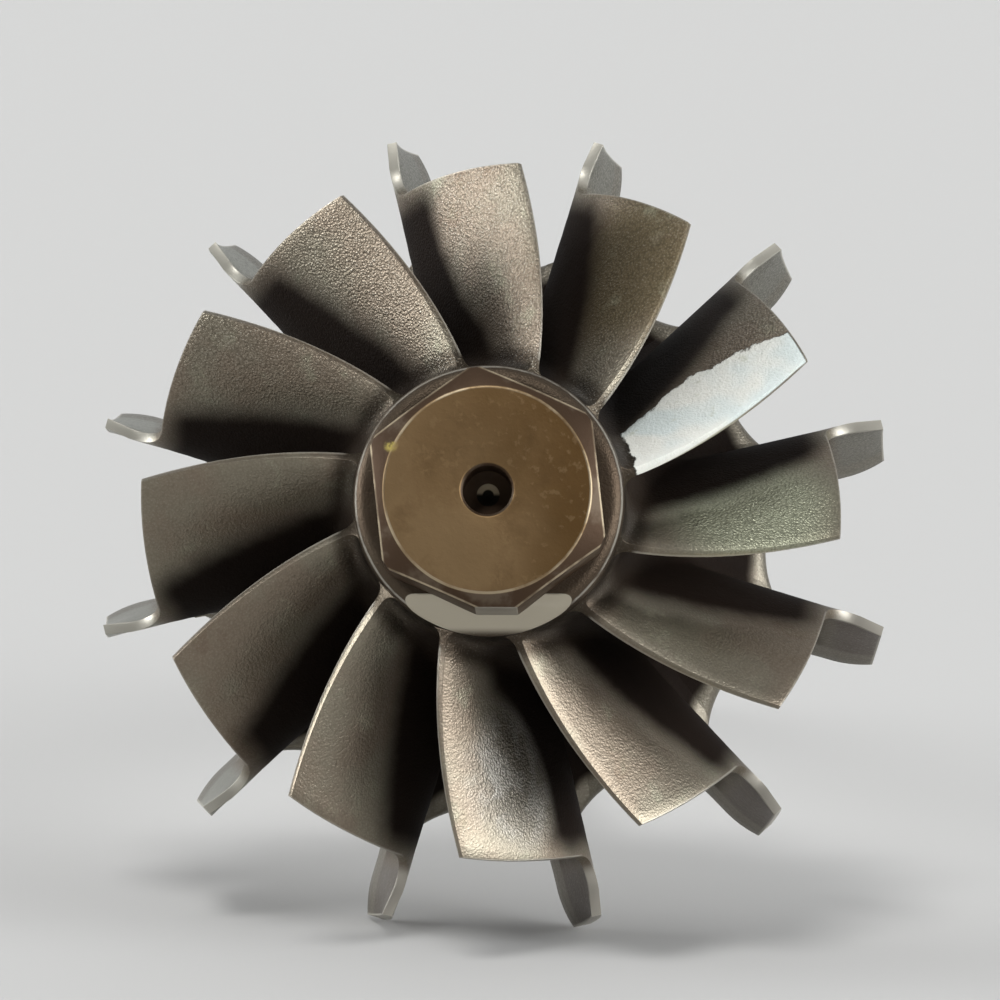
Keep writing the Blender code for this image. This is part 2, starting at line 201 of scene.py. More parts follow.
@dataclass(frozen=True)
class BladeForm:
    """Middle surface and thickness of a blade, as functions of station and radius."""

    hub: HubForm = HubForm()
    inlet_front: float = 27.6 * MM
    inlet_rear: float = 36.8 * MM
    inlet_radius: float = 35.0 * MM
    outlet_radius: float = 29.85 * MM
    outlet_root: float = 9.0 * MM
    outlet_tip: float = 13.8 * MM
    shroud_round: float = 3.0 * MM
    outlet_power: float = 1.85
    outlet_bend: float = math.radians(0.152) / MM**1.85
    inlet_power: float = 2.0
    inlet_bend: float = math.radians(0.0255) / MM**2.0
    tip_thickness: float = 0.85 * MM
    rear_thickness: float = 1.5 * MM
    root_thickening: float = 0.07
    outlet_edge: float = 0.55 * MM
    outlet_edge_thickening: float = 0.016
    outlet_taper: float = 8.0 * MM
    sweep_start: float = 21.6 * MM
    sweep_depth: float = 3.5 * MM
    sweep_front: float = 0.45 * MM
    sweep_rear: float = -0.3 * MM
    sweep_thickening: float = 0.6 * MM
    sweep_power: float = 3.0

    def angle(self, station: float) -> float:
        """Angle of the middle surface about the axis, counted from the rear edge.

        Args:
            station: Station on the middle surface.

        Returns:
            The angle.
        """
        rear = self.inlet_bend * (self.inlet_rear - self.inlet_front) ** self.inlet_power
        if station < self.inlet_front:
            ahead = self.inlet_front - station
            return rear - self.outlet_bend * ahead**self.outlet_power
        return rear - self.inlet_bend * (station - self.inlet_front) ** self.inlet_power

    def slope(self, station: float) -> float:
        """Change of the middle surface's angle along the axis.

        Args:
            station: Station on the middle surface.

        Returns:
            The change for each metre.
        """
        if station < self.inlet_front:
            ahead = self.inlet_front - station
            return self.outlet_power * self.outlet_bend * ahead ** (self.outlet_power - 1)
        behind = station - self.inlet_front
        return -self.inlet_power * self.inlet_bend * behind ** (self.inlet_power - 1)

    def below_tip(self, radius: float) -> float:
        """Smooth share of the inlet's sweep at a radius: none at the tip."""
        share = share_of(radius, self.inlet_radius, self.inlet_radius - self.sweep_depth)
        return share * (2 - share)

    def sweep(self, station: float, radius: float) -> float:
        """Sideways shift of the inlet's part of the blade, which isn't quite radial.

        Args:
            station: Station on the middle surface.
            radius: Radius there.

        Returns:
            The shift, counter-clockwise.
        """
        if station < self.inlet_front:
            shift = self.sweep_front * share_of(station, self.sweep_start, self.inlet_front)
        else:
            forward = share_of(station, self.inlet_rear, self.inlet_front)
            shift = self.sweep_front - self.sweep_rear
            shift = self.sweep_rear + shift * forward**self.sweep_power
        return shift * self.below_tip(radius)

    def outlet_station(self, radius: float) -> float:
        """Station of the outlet edge at a radius."""
        share = share_of(radius, self.hub.radius, self.outlet_radius)
        return self.outlet_root + (self.outlet_tip - self.outlet_root) * share

    def thickness(self, station: float, radius: float) -> float:
        """Thickness across the blade, without its fillet.

        Args:
            station: Station on the middle surface.
            radius: Radius there.

        Returns:
            The thickness.
        """
        rearward = share_of(station, self.inlet_front, self.inlet_rear)
        inward = max(0.0, self.outlet_radius - radius)
        full = self.tip_thickness + (self.rear_thickness - self.tip_thickness) * rearward
        full += self.root_thickening * inward
        full += self.sweep_thickening * rearward * self.below_tip(radius)
        edge = self.outlet_edge + self.outlet_edge_thickening * inward
        start = self.outlet_station(radius)
        before = 1 - share_of(station, start, start + self.outlet_taper)
        return full - (full - edge) * before**2


@dataclass(frozen=True)
class ShaftForm:
    """Stations and radii behind the disc."""

    boss_radius: float = 9.5 * MM
    boss_fillet: float = 2.0 * MM
    boss_end: float = 50.0 * MM
    groove_start: float = 44.8 * MM
    groove_width: float = 1.7 * MM
    groove_radius: float = 8.1 * MM
    weld_radius: float = 7.0 * MM
    weld_start: float = 51.0 * MM
    weld_end: float = 53.5 * MM
    ring_radius: float = 9.9 * MM
    ring_inside: float = 8.25 * MM
    ring_width: float = 1.5 * MM
    ring_opening: float = 0.5 * MM
    ring_split: float = math.radians(90)
    journal_radius: float = 5.5 * MM
    journal_start: float = 55.0 * MM
    journal_end: float = 76.0 * MM
    relief_radius: float = 5.15 * MM
    relief_step: float = 0.6 * MM
    far_journal_start: float = 96.0 * MM
    far_journal_end: float = 114.0 * MM
    seat_radius: float = 4.0 * MM
    thread_neck: float = 143.0 * MM
    thread_neck_width: float = 1.6 * MM
    thread_neck_radius: float = 3.3 * MM
    thread_radius: float = 3.95 * MM
    thread_pitch: float = 1.0 * MM
    thread_depth: float = 0.58 * MM
    end: float = 156.0 * MM
    end_chamfer: float = 0.7 * MM
    end_centre_radius: float = 1.3 * MM
    end_centre_depth: float = 2.2 * MM

    @property
    def thread_start(self) -> float:
        """Station at which the threaded end begins."""
        return self.thread_neck + self.thread_neck_width


@dataclass(frozen=True)
class BalanceCut:
    """Two flats ground below the nose, on the hub's shoulder and on a corner, for balance."""

    angle: float = math.radians(272.3)
    shoulder_reach: float = 8.15 * MM
    shoulder_station: float = 6.0 * MM
    shoulder_slope: float = 1.25
    corner_reach: float = 9.8 * MM
    film: float = 0.03 * MM
    root_radius: float = 12.0 * MM
    root_depth: float = 0.09 * MM

    @property
    def outward(self) -> Vector:
        """Direction from the axis to the middle of the cut, in the wheel's own frame."""
        return Vector((math.cos(self.angle), 0, math.sin(self.angle)))

    @property
    def shoulder_normal(self) -> Vector:
        """Direction that the shoulder's flat faces."""
        return (self.outward - Vector((0, self.shoulder_slope, 0))).normalized()

    @property
    def shoulder_point(self) -> Vector:
        """Point on the shoulder's flat."""
        return self.outward * self.shoulder_reach + Vector((0, self.shoulder_station, 0))

    def cut_shoulder(self, hub: Object) -> None:
        """Grind the flat on the hub's shoulder."""
        cut_flat(hub, self.shoulder_point, self.shoulder_normal)

    def sink_root(self, blade: Object) -> None:
        """Sink the corner of a blade's root that would stand out of the shoulder's flat.

        Args:
            blade: Blade, turned to its place about the axis.
        """
        level = self.shoulder_point.dot(self.shoulder_normal) - self.root_depth
        for vertex in blade.data.vertices:
            beyond = vertex.co.dot(self.shoulder_normal) - level
            if beyond > 0 and math.hypot(vertex.co.x, vertex.co.z) < self.root_radius:
                vertex.co -= beyond * self.shoulder_normal

    def cut_corner(self, nose: Object) -> None:
        """Grind the flat on the hexagon's lowest corner."""
        cut_flat(nose, self.outward * self.corner_reach, self.outward)

    def on_shoulder(self, graph: Graph, at: WheelPlace) -> Value:
        """Mask of the shoulder's flat.

        Args:
            graph: Material that it is added to.
            at: Point of the surface.

        Returns:
            The mask.
        """
        level = self.shoulder_point.dot(self.shoulder_normal)
        reach = graph.dot(at.point, self.shoulder_normal)
        return reach.step(level - 2 * self.film, level - self.film)

    def on_corner(self, graph: Graph, at: WheelPlace) -> Value:
        """Mask of the corner's flat."""
        reach = graph.dot(at.point, self.outward)
        return reach.step(self.corner_reach - 2 * self.film, self.corner_reach - self.film)


@dataclass(frozen=True)
class WheelLie:
    """How the wheel lies: on the rear corners of two blade tips and on its shaft's end."""

    blade: BladeForm = BladeForm()
    shaft: ShaftForm = ShaftForm()
    nose_radius: float = NOSE_RADIUS
    half_step: float = math.pi / BLADE_COUNT

    @property
    def tip_drop(self) -> float:
        """Height of the axis over the two tips that touch the table, across the axis."""
        half_angle = self.blade.rear_thickness / 2 / self.blade.inlet_radius
        return self.blade.inlet_radius * math.cos(self.half_step - half_angle)

    @property
    def slant(self) -> float:
        """Angle by which the shaft slopes down towards its end."""
        run = self.shaft.end - self.shaft.end_chamfer - self.blade.inlet_rear
        return math.atan((self.tip_drop - self.shaft.thread_radius) / run)

    @property
    def nose(self) -> Vector:
        """Middle of the nose's face.

        Returns:
            The point, in the table's frame.
        """
        end_radius = self.shaft.thread_radius - self.shaft.end_chamfer
        front = -self.nose_radius * math.sin(self.slant)
        back = self.shaft.end * math.cos(self.slant) + end_radius * math.sin(self.slant)
        rise = self.blade.inlet_rear * math.sin(self.slant)
        return Vector((0, -(front + back) / 2, self.tip_drop * math.cos(self.slant) + rise))

    def matrix(self) -> Matrix:
        """From the wheel's own frame to the table's."""
        return Matrix.Translation(self.nose) @ Matrix.Rotation(-self.slant, 4, "X")


# ---------------------------------------------------------------- modelling by operators


def select_only(obj: Object) -> None:
    """Make one object the active and only selected one.

    Args:
        obj: The object.
    """
    bpy.ops.object.select_all(action="DESELECT")
    obj.select_set(True)
    bpy.context.view_layer.objects.active = obj


def add_primitive(name: str, add: Callable[..., object], **sizes: float) -> Object:
    """Add one of Blender's own shapes, with everything else deselected.

    Args:
        name: Name of the new object.
        add: Operator that adds the shape.
        **sizes: What the operator is told.

    Returns:
        The new object, at the origin.
    """
    bpy.ops.object.select_all(action="DESELECT")
    add(**sizes)
    obj = bpy.context.object
    obj.name = name
    return obj


def add_grid(name: str, columns: int, rows: int) -> Object:
    """Add a flat grid that spans -1 to 1 both ways."""
    add = bpy.ops.mesh.primitive_grid_add
    return add_primitive(name, add, x_subdivisions=columns, y_subdivisions=rows, size=2)


def grid_step(coordinate: float, steps: int) -> int:
    """Step of a grid's side on which a coordinate lies."""
    return round((coordinate + 1) / 2 * steps)


def begin_edit(obj: Object) -> None:
    """Open an object's mesh with all of it selected.

    Args:
        obj: The object.
    """
    select_only(obj)
    bpy.ops.object.mode_set(mode="EDIT")
    bpy.ops.mesh.select_all(action="SELECT")


def end_edit() -> None:
    """Close the mesh that is being edited."""
    bpy.ops.object.mode_set(mode="OBJECT")


def extrude(x: float, y: float, z: float) -> None:
    """Extrude what is selected in the open mesh."""
    bpy.ops.mesh.extrude_region_move(TRANSFORM_OT_translate={"value": (x, y, z)})


def clean_mesh(obj: Object) -> None:
    """Merge points that coincide and turn the faces outwards.

    Args:
        obj: Object that is changed.
    """
    begin_edit(obj)
    bpy.ops.mesh.remove_doubles(threshold=MERGE_DISTANCE)
    bpy.ops.mesh.dissolve_degenerate(threshold=MERGE_DISTANCE / 2)
    bpy.ops.mesh.select_all(action="SELECT")
    bpy.ops.mesh.normals_make_consistent(inside=False)
    end_edit()


def turn_outline(
    name: str, outline: list[Point], sides: int = 128, closed: bool = False
) -> Object:
    """Draw an outline point by point and spin it about the wheel's axis.

    Args:
        name: Name of the new object.
        outline: Station and radius of each point.
        sides: Steps of the spin.
        closed: Whether the last point joins the first, as on a ring.

    Returns:
        The turned object, in the wheel's own frame.
    """
    obj = add_primitive(name, bpy.ops.mesh.primitive_circle_add, vertices=3, radius=MM)
    begin_edit(obj)
    bpy.ops.mesh.merge(type="CENTER")
    path = outline + outline[:1] if closed else outline
    station, radius = path[0]
    bpy.ops.transform.translate(value=(radius, station, 0))
    for before, after in zip(path, path[1:]):
        extrude(after[1] - before[1], after[0] - before[0], 0)
    bpy.ops.mesh.select_all(action="SELECT")
    bpy.ops.mesh.spin(steps=sides, angle=2 * math.pi, center=(0, 0, 0), axis=(0, 1, 0))
    end_edit()
    clean_mesh(obj)
    return obj


def wrap_grid(name: str, sides: int, rows: int, spot: Callable[[int, int], Point]) -> Object:
    """Wrap a flat grid round the wheel's axis, with its points laid in code.

    Args:
        name: Name of the new object.
        sides: Steps round the axis.
        rows: Steps along the outline.
        spot: Gives the station and radius for a step round the axis and one along the outline.

    Returns:
        The wrapped object, in the wheel's own frame.
    """
    obj = add_grid(name, sides, rows)
    for vertex in obj.data.vertices:
        side, row = grid_step(vertex.co.x, sides), grid_step(vertex.co.y, rows)
        angle = 2 * math.pi * side / sides
        station, radius = spot(side, row)
        vertex.co = (radius * math.cos(angle), station, radius * math.sin(angle))
    clean_mesh(obj)
    return obj


def apply_modifiers(obj: Object) -> None:
    """Make an object's modifiers part of its mesh.

    Args:
        obj: Object that is changed.
    """
    select_only(obj)
    for name in [modifier.name for modifier in obj.modifiers]:
        bpy.ops.object.modifier_apply(modifier=name)


def combine(obj: Object, tool: Object, join: Join) -> None:
    """Cut an object with another one, or keep what they share, and use the other up.

    Args:
        obj: Object that is changed.
        tool: Object that is used up.
        join: What is left.
    """
    boolean = obj.modifiers.new(tool.name, "BOOLEAN")
    boolean.operation = join.value
    boolean.object = tool
    boolean.solver = "EXACT"
    apply_modifiers(obj)
    bpy.data.objects.remove(tool)


def cut_flat(obj: Object, point: Vector, normal: Vector, side: float = 40 * MM) -> None:
    """Cut away what lies beyond a plane with a block.

    Args:
        obj: Object that is changed.
        point: Point on the plane.
        normal: Direction that the new flat faces.
        side: Side of the block.
    """
    block = add_primitive("flat_cutter", bpy.ops.mesh.primitive_cube_add, size=side)
    turn = normal.to_track_quat("Z", "Y").to_matrix().to_4x4()
    block.data.transform(Matrix.Translation(point + normal * (side / 2)) @ turn)
    combine(obj, block, Join.CUT)
    clean_mesh(obj)


def round_edges(obj: Object, width: float, segments: int = 2, angle: float = 35) -> None:
    """Round the edges that are sharper than an angle.

    Args:
        obj: Object that is changed.
        width: Width of the rounding.
        segments: Steps across it.
        angle: Least angle between the faces of an edge, in degrees.
    """
    bevel = obj.modifiers.new("rounding", "BEVEL")
    bevel.width = width
    bevel.segments = segments
    bevel.limit_method = "ANGLE"
    bevel.angle_limit = math.radians(angle)
    bevel.use_clamp_overlap = True
    bevel.harden_normals = False
    apply_modifiers(obj)
    clean_mesh(obj)


def shade(obj: Object, angle: float = 30) -> None:
    """Shade an object smooth, apart from edges sharper than an angle in degrees."""
    select_only(obj)
    bpy.ops.object.shade_smooth_by_angle(angle=math.radians(angle))


def place(obj: Object, lie: WheelLie, material: Material, slot: Slot, *nodes: str) -> None:
    """Put a piece where its solids lie, in its finish, in their stead.

    Args:
        obj: Piece, in the wheel's own frame.
        lie: How the wheel lies.
        material: Its finish.
        slot: A name for that finish; not used.
        *nodes: Solids that the piece stands for.
    """
    obj.data.transform(lie.matrix())
    obj.data.materials.clear()
    obj.data.materials.append(material)
    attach(obj, "root")
    if nodes:
        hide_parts(*nodes)
    LOG.info("%s: %d faces", obj.name, len(obj.data.polygons))


# ---------------------------------------------------------------- shader arithmetic


@dataclass(frozen=True)
class Value:
    """A number in a material that adds Math nodes as it is reckoned with."""

    graph: Graph
    socket: Socket

    def _reckon(self, operation: str, *values: Value | float) -> Value:
        """Value of a Math node's operation."""
        inputs = dict(enumerate(values))
        return self.graph.node("ShaderNodeMath", {"operation": operation}, inputs).value()

    def __add__(self, other: Value | float) -> Value:
        """Sum."""
        return self._reckon("ADD", self, other)

    __radd__ = __add__

    def __sub__(self, other: Value | float) -> Value:
        """Difference."""
        return self._reckon("SUBTRACT", self, other)

    def __rsub__(self, other: Value | float) -> Value:
        """Difference, the other way round."""
        return self._reckon("SUBTRACT", other, self)

    def __mul__(self, other: Value | float) -> Value:
        """Product."""
        return self._reckon("MULTIPLY", self, other)

    __rmul__ = __mul__

    def __truediv__(self, other: Value | float) -> Value:
        """Quotient."""
        return self._reckon("DIVIDE", self, other)

    def least(self, other: Value | float) -> Value:
        """Lesser of two values."""
        return self._reckon("MINIMUM", self, other)

    def most(self, other: Value | float) -> Value:
        """Greater of two values."""
        return self._reckon("MAXIMUM", self, other)

    def root(self) -> Value:
        """Square root."""
        return self._reckon("SQRT", self)

    def step(self, start: float, end: float) -> Value:
        """Smooth rise from 0 at start to 1 at end, or fall where end is less.

        Args:
            start: Where the step begins.
            end: Where it ends.

        Returns:
            The step, between 0 and 1.
        """
        low, high = min(start, end), max(start, end)
        inputs = {"Value": self, "From Min": low, "From Max": high}
        settings = {"interpolation_type": "SMOOTHSTEP"}
        rise = self.graph.node("ShaderNodeMapRange", settings, inputs).value("Result")
        return rise if end > start else 1 - rise

    def near_zero(self, outer: float, inner: float) -> Value:
        """Mask of the values near 0, from outer on either side of it to full at inner."""
        return (self * self).step(outer**2, inner**2)


@dataclass(frozen=True)
class Made:
    """A node that was added, whose outputs are read as values or sockets."""

    graph: Graph
    node: bpy.types.Node

    def value(self, name: str | int = 0) -> Value:
        """Output as a number."""
        return Value(self.graph, self.node.outputs[name])

    def socket(self, name: str | int = 0) -> Socket:
        """Output as a socket."""
        return self.node.outputs[name]


@dataclass(frozen=True)
class WheelPlace:
    """Point of the surface and its normal, in the wheel's own frame."""

    point: Socket
    x: Value
    station: Value
    z: Value
    radius: Value
    normal_x: Value
    normal_z: Value

    def along(self, angle: float) -> Value:
        """How far the point lies out at an angle about the axis."""
        return self.x * math.cos(angle) + self.z * math.sin(angle)

    def swirl(self) -> Value:
        """How far the surface faces counter-clockwise about the axis."""
        return (self.normal_z * self.x - self.normal_x * self.z) / self.radius


class Graph:
    """The nodes of one material, or of the surroundings."""

    def __init__(self, holder: Material | bpy.types.World) -> None:
        """Start with no nodes.

        Args:
            holder: What the nodes belong to.
        """
        self.holder = holder
        self.holder.use_nodes = True
        self.tree = self.holder.node_tree
        self.tree.nodes.clear()

    def node(
        self,
        kind: str,
        settings: dict[str, object] | None = None,
        inputs: dict[str | int, object] | None = None,
    ) -> Made:
        """Add a node, set it up and feed its sockets.

        Args:
            kind: Blender's name for the type of node.
            settings: Its own settings.
            inputs: Value, socket or number for each input; None leaves an input as it is.

        Returns:
            The node that was made.
        """
        node = self.tree.nodes.new(kind)
        for name, setting in (settings or {}).items():
            setattr(node, name, setting)
        for name, value in (inputs or {}).items():
            if value is not None:
                self.feed(node.inputs[name], value)
        return Made(self, node)

    def feed(self, socket: Socket, value: object) -> None:
        """Link a value or socket to an input, or set a number or colour on it.

        Args:
            socket: The input.
            value: What goes in.
        """
        if isinstance(value, Value):
            self.tree.links.new(value.socket, socket)
        elif isinstance(value, Socket):
            self.tree.links.new(value, socket)
        elif isinstance(value, tuple) and len(value) == 3 and socket.type == "RGBA":
            socket.default_value = (*value, 1)
        else:
            socket.default_value = value

    def mix(self, share: Value | float, first: Socket | Colour, second: Socket | Colour) -> Socket:
        """Blend two colours.

        Args:
            share: How much of the second shows.
            first: Colour where the share is 0.
            second: Colour where it is 1.

        Returns:
            The blended colour's socket.
        """
        inputs = {0: share, 6: first, 7: second}
        return self.node("ShaderNodeMix", {"data_type": "RGBA"}, inputs).socket(2)

    def place(self) -> Socket:
        """Point of the surface, in the table's frame."""
        return self.node("ShaderNodeTexCoord").socket("Object")

    def vector_math(self, operation: str, first: Socket, second: tuple[float, ...]) -> Made:
        """Node that reckons with a vector and a constant one."""
        inputs = {0: first, 1: second}
        return self.node("ShaderNodeVectorMath", {"operation": operation}, inputs)

    def dot(self, socket: Socket, direction: Vector | tuple[float, ...]) -> Value:
        """How far a vector reaches along a direction."""
        return self.vector_math("DOT_PRODUCT", socket, tuple(direction)).value("Value")

    def wheel_place(self, lie: WheelLie) -> WheelPlace:
        """Point of the surface in the wheel's own frame.

        Args:
            lie: How the wheel lies.

        Returns:
            The point and its normal.
        """
        moved = self.vector_math("SUBTRACT", self.place(), tuple(lie.nose)).socket()
        inputs = {"Vector": moved, "Rotation": (lie.slant, 0, 0)}
        turned = self.node("ShaderNodeMapping", {"vector_type": "POINT"}, inputs).socket()
        parts = self.node("ShaderNodeSeparateXYZ", inputs={0: turned})
        x, station, z = (parts.value(i) for i in range(3))
        normal = self.node("ShaderNodeNewGeometry").socket("Normal")
        axes = lie.matrix().to_3x3()
        sides = [self.dot(normal, axes @ Vector(axis)) for axis in ((1, 0, 0), (0, 0, 1))]
        return WheelPlace(turned, x, station, z, (x * x + z * z).root(), *sides)

    def spread(self, size: float, offset: float) -> Socket:
        """Point of the surface in units of a pattern's size, shifted by an offset."""
        inputs = {"Vector": self.place(), "Scale": (1 / size,) * 3, "Location": (offset,) * 3}
        return self.node("ShaderNodeMapping", {"vector_type": "POINT"}, inputs).socket()

    def noise(
        self, size: float, detail: float = 2.0, roughness: float = 0.5, offset: float = 0.0
    ) -> Value:
        """Soft random pattern.

        Args:
            size: Width of its blotches, in metres.
            detail: Octaves of finer pattern.
            roughness: Strength of the finer pattern.
            offset: Shift of the pattern, so that two of one size differ.

        Returns:
            The pattern, about 0.5 on average.
        """
        spread = self.spread(size, offset)
        inputs = {"Vector": spread, "Scale": 1.0, "Detail": detail, "Roughness": roughness}
        return self.node("ShaderNodeTexNoise", {}, inputs).value()

    def cells(self, size: float, offset: float = 0.0) -> Value:
        """Distance to scattered points, in units of their spacing."""
        inputs = {"Vector": self.spread(size, offset), "Scale": 1.0}
        return self.node("ShaderNodeTexVoronoi", {}, inputs).value("Distance")

    def rings(self, at: WheelPlace, scale: float, waver: float, profile: str) -> Value:
        """Fine rings about the axis, as a tool leaves them.

        Args:
            at: Point of the surface.
            scale: How close the rings lie.
            waver: How uneven they are.
            profile: Blender's name for the shape of a ring.

        Returns:
            The height of the rings, between 0 and 1.
        """
        settings = {"wave_type": "BANDS", "bands_direction": "Y", "wave_profile": profile}
        inputs = {"Vector": at.point, "Scale": scale, "Distortion": waver, "Detail": 2.0}
        return self.node("ShaderNodeTexWave", settings, inputs).value("Fac")

    def bump(
        self, height: Value, depth: float, strength: float = 1.0, normal: Socket | None = None
    ) -> Socket:
        """Relief from a height pattern.

        Args:
            height: Pattern of heights.
            depth: Height that a value of 1 stands for, in metres.
            strength: Share of the relief that shows.
            normal: Relief that this one is added to.

        Returns:
            The bent normal.
        """
        inputs = {"Height": height, "Distance": depth, "Strength": strength, "Normal": normal}
        return self.node("ShaderNodeBump", {}, inputs).socket()

    def finish(
        self,
        colour: Socket | Colour,
        roughness: Value | float,
        metallic: Value | float,
        normal: Socket | None = None,
        gloss: float = 0.5,
    ) -> Material:
        """Close the material with a Principled shader.

        Args:
            colour: Base colour.
            roughness: Roughness.
            metallic: Metallic.
            normal: Relief, if any.
            gloss: Reflection of what isn't metal in it, 0.5 for glass.

        Returns:
            The finished material.
        """
        inputs = {
            "Base Color": colour,
            "Roughness": roughness,
            "Metallic": metallic,
            "Specular IOR Level": gloss,
            "Normal": normal,
        }
        shader = self.node("ShaderNodeBsdfPrincipled", {}, inputs).socket()
        self.node("ShaderNodeOutputMaterial", {}, {"Surface": shader})
        return self.holder


@dataclass(frozen=True)
class Patch:
    """Soft round patch of a finish, about a point of the wheel's own frame."""

    x: float
    station: float
    z: float
    reach: float
    core: float = 0.4

    def mask(self, graph: Graph, lie: WheelLie) -> Value:
        """Mask of the patch.

        Args:
            graph: Material that it is added to.
            lie: How the wheel lies.

        Returns:
            The mask, 1 in the patch's middle.
        """
        centre = lie.matrix() @ Vector((self.x, self.station, self.z))
        away = graph.vector_math("DISTANCE", graph.place(), tuple(centre)).value("Value")
        return away.step(self.reach, self.reach * self.core)


# ---------------------------------------------------------------- finishes
#
# A Span holds the measures between which a mask rises. Numbers without a name are levels of a
# pattern, shares of a blend and offsets that keep two patterns apart.


@dataclass(frozen=True)
class EdgeWearAndHighlight:
    """Where the blades' edges are worn bright, with painted highlights: between which measures
    each edge's mask rises.
    """

    outlet_facing: Span = (0.05, -0.25)
    outlet_depth: Span = (0.50 * MM, 0.35 * MM)
    outlet_inner: Span = (12.6 * MM, 13.2 * MM)
    outlet_outer: Span = (15 * MM, 14.5 * MM)
    outlet_corner: Span = (0.06 * MM, 0.16 * MM)
    outlet_waver: float = 0.1 * MM
    outlet_least: float = 0.04
    outlet_share: float = 0.7
    shroud_radius: Span = (29.70 * MM, 29.80 * MM)
    shroud_waver: float = 0.2 * MM
    shroud_station: Span = (25.0 * MM, 24.2 * MM)
    shroud_share: float = 0.6
    land_radius: Span = (34.78 * MM, 34.90 * MM)
    front_station: Span = (27.90 * MM, 27.75 * MM)
    front_radius: Span = (30.2 * MM, 31.4 * MM)

    def mask(self, at: WheelPlace, behind: Value, waver: Value) -> Value:
        """Mask of the outlet edge's back corner, the tips and the inlet's front edge, worn bright,
        with painted highlights on the corner and the front edge.

        Args:
            at: Point of the surface.
            behind: Distance behind the outlet edge.
            waver: Pattern about 0 that makes the wear uneven.

        Returns:
            The mask.
        """
        station, radius = at.station, at.radius
        edge_face = at.swirl().step(*self.outlet_facing) * behind.step(*self.outlet_depth)
        edge_face = edge_face * radius.step(*self.outlet_inner) * station.step(*self.outlet_outer)
        # Painted highlight along the outlet edge's back corner.
        corner = (behind + waver * self.outlet_waver).step(*self.outlet_corner)
        outlet = edge_face * (self.outlet_least + corner * self.outlet_share)
        shroud = (radius + waver * self.shroud_waver).step(*self.shroud_radius)
        shroud = shroud * station.step(*self.shroud_station)
        land = radius.step(*self.land_radius)
        # Painted light: the inlet's front edge is made pale.
        front = station.step(*self.front_station) * radius.step(*self.front_radius)
        return outlet.most(shroud * self.shroud_share).most(land).most(front)


@dataclass(frozen=True)
class CastMasks:
    """Patterns of the casting's surface and the places where its looks change."""

    blotches: Value
    streaks: Value
    grain: Value
    sand: Value
    olive: Value
    green: Value
    highlight_spot: Value
    pale: Value
    rim: Value
    back: Value
    sooty_and_shaded: Value
    collar: Value
    worn_and_lit: Value
    ground: Value

    def bare(self) -> Value:
        """Mask of the skin outside the soot and painted shade, the collar and the worn and
        highlighted edges.
        """
        return (1 - self.sooty_and_shaded) * (1 - self.collar) * (1 - self.worn_and_lit)


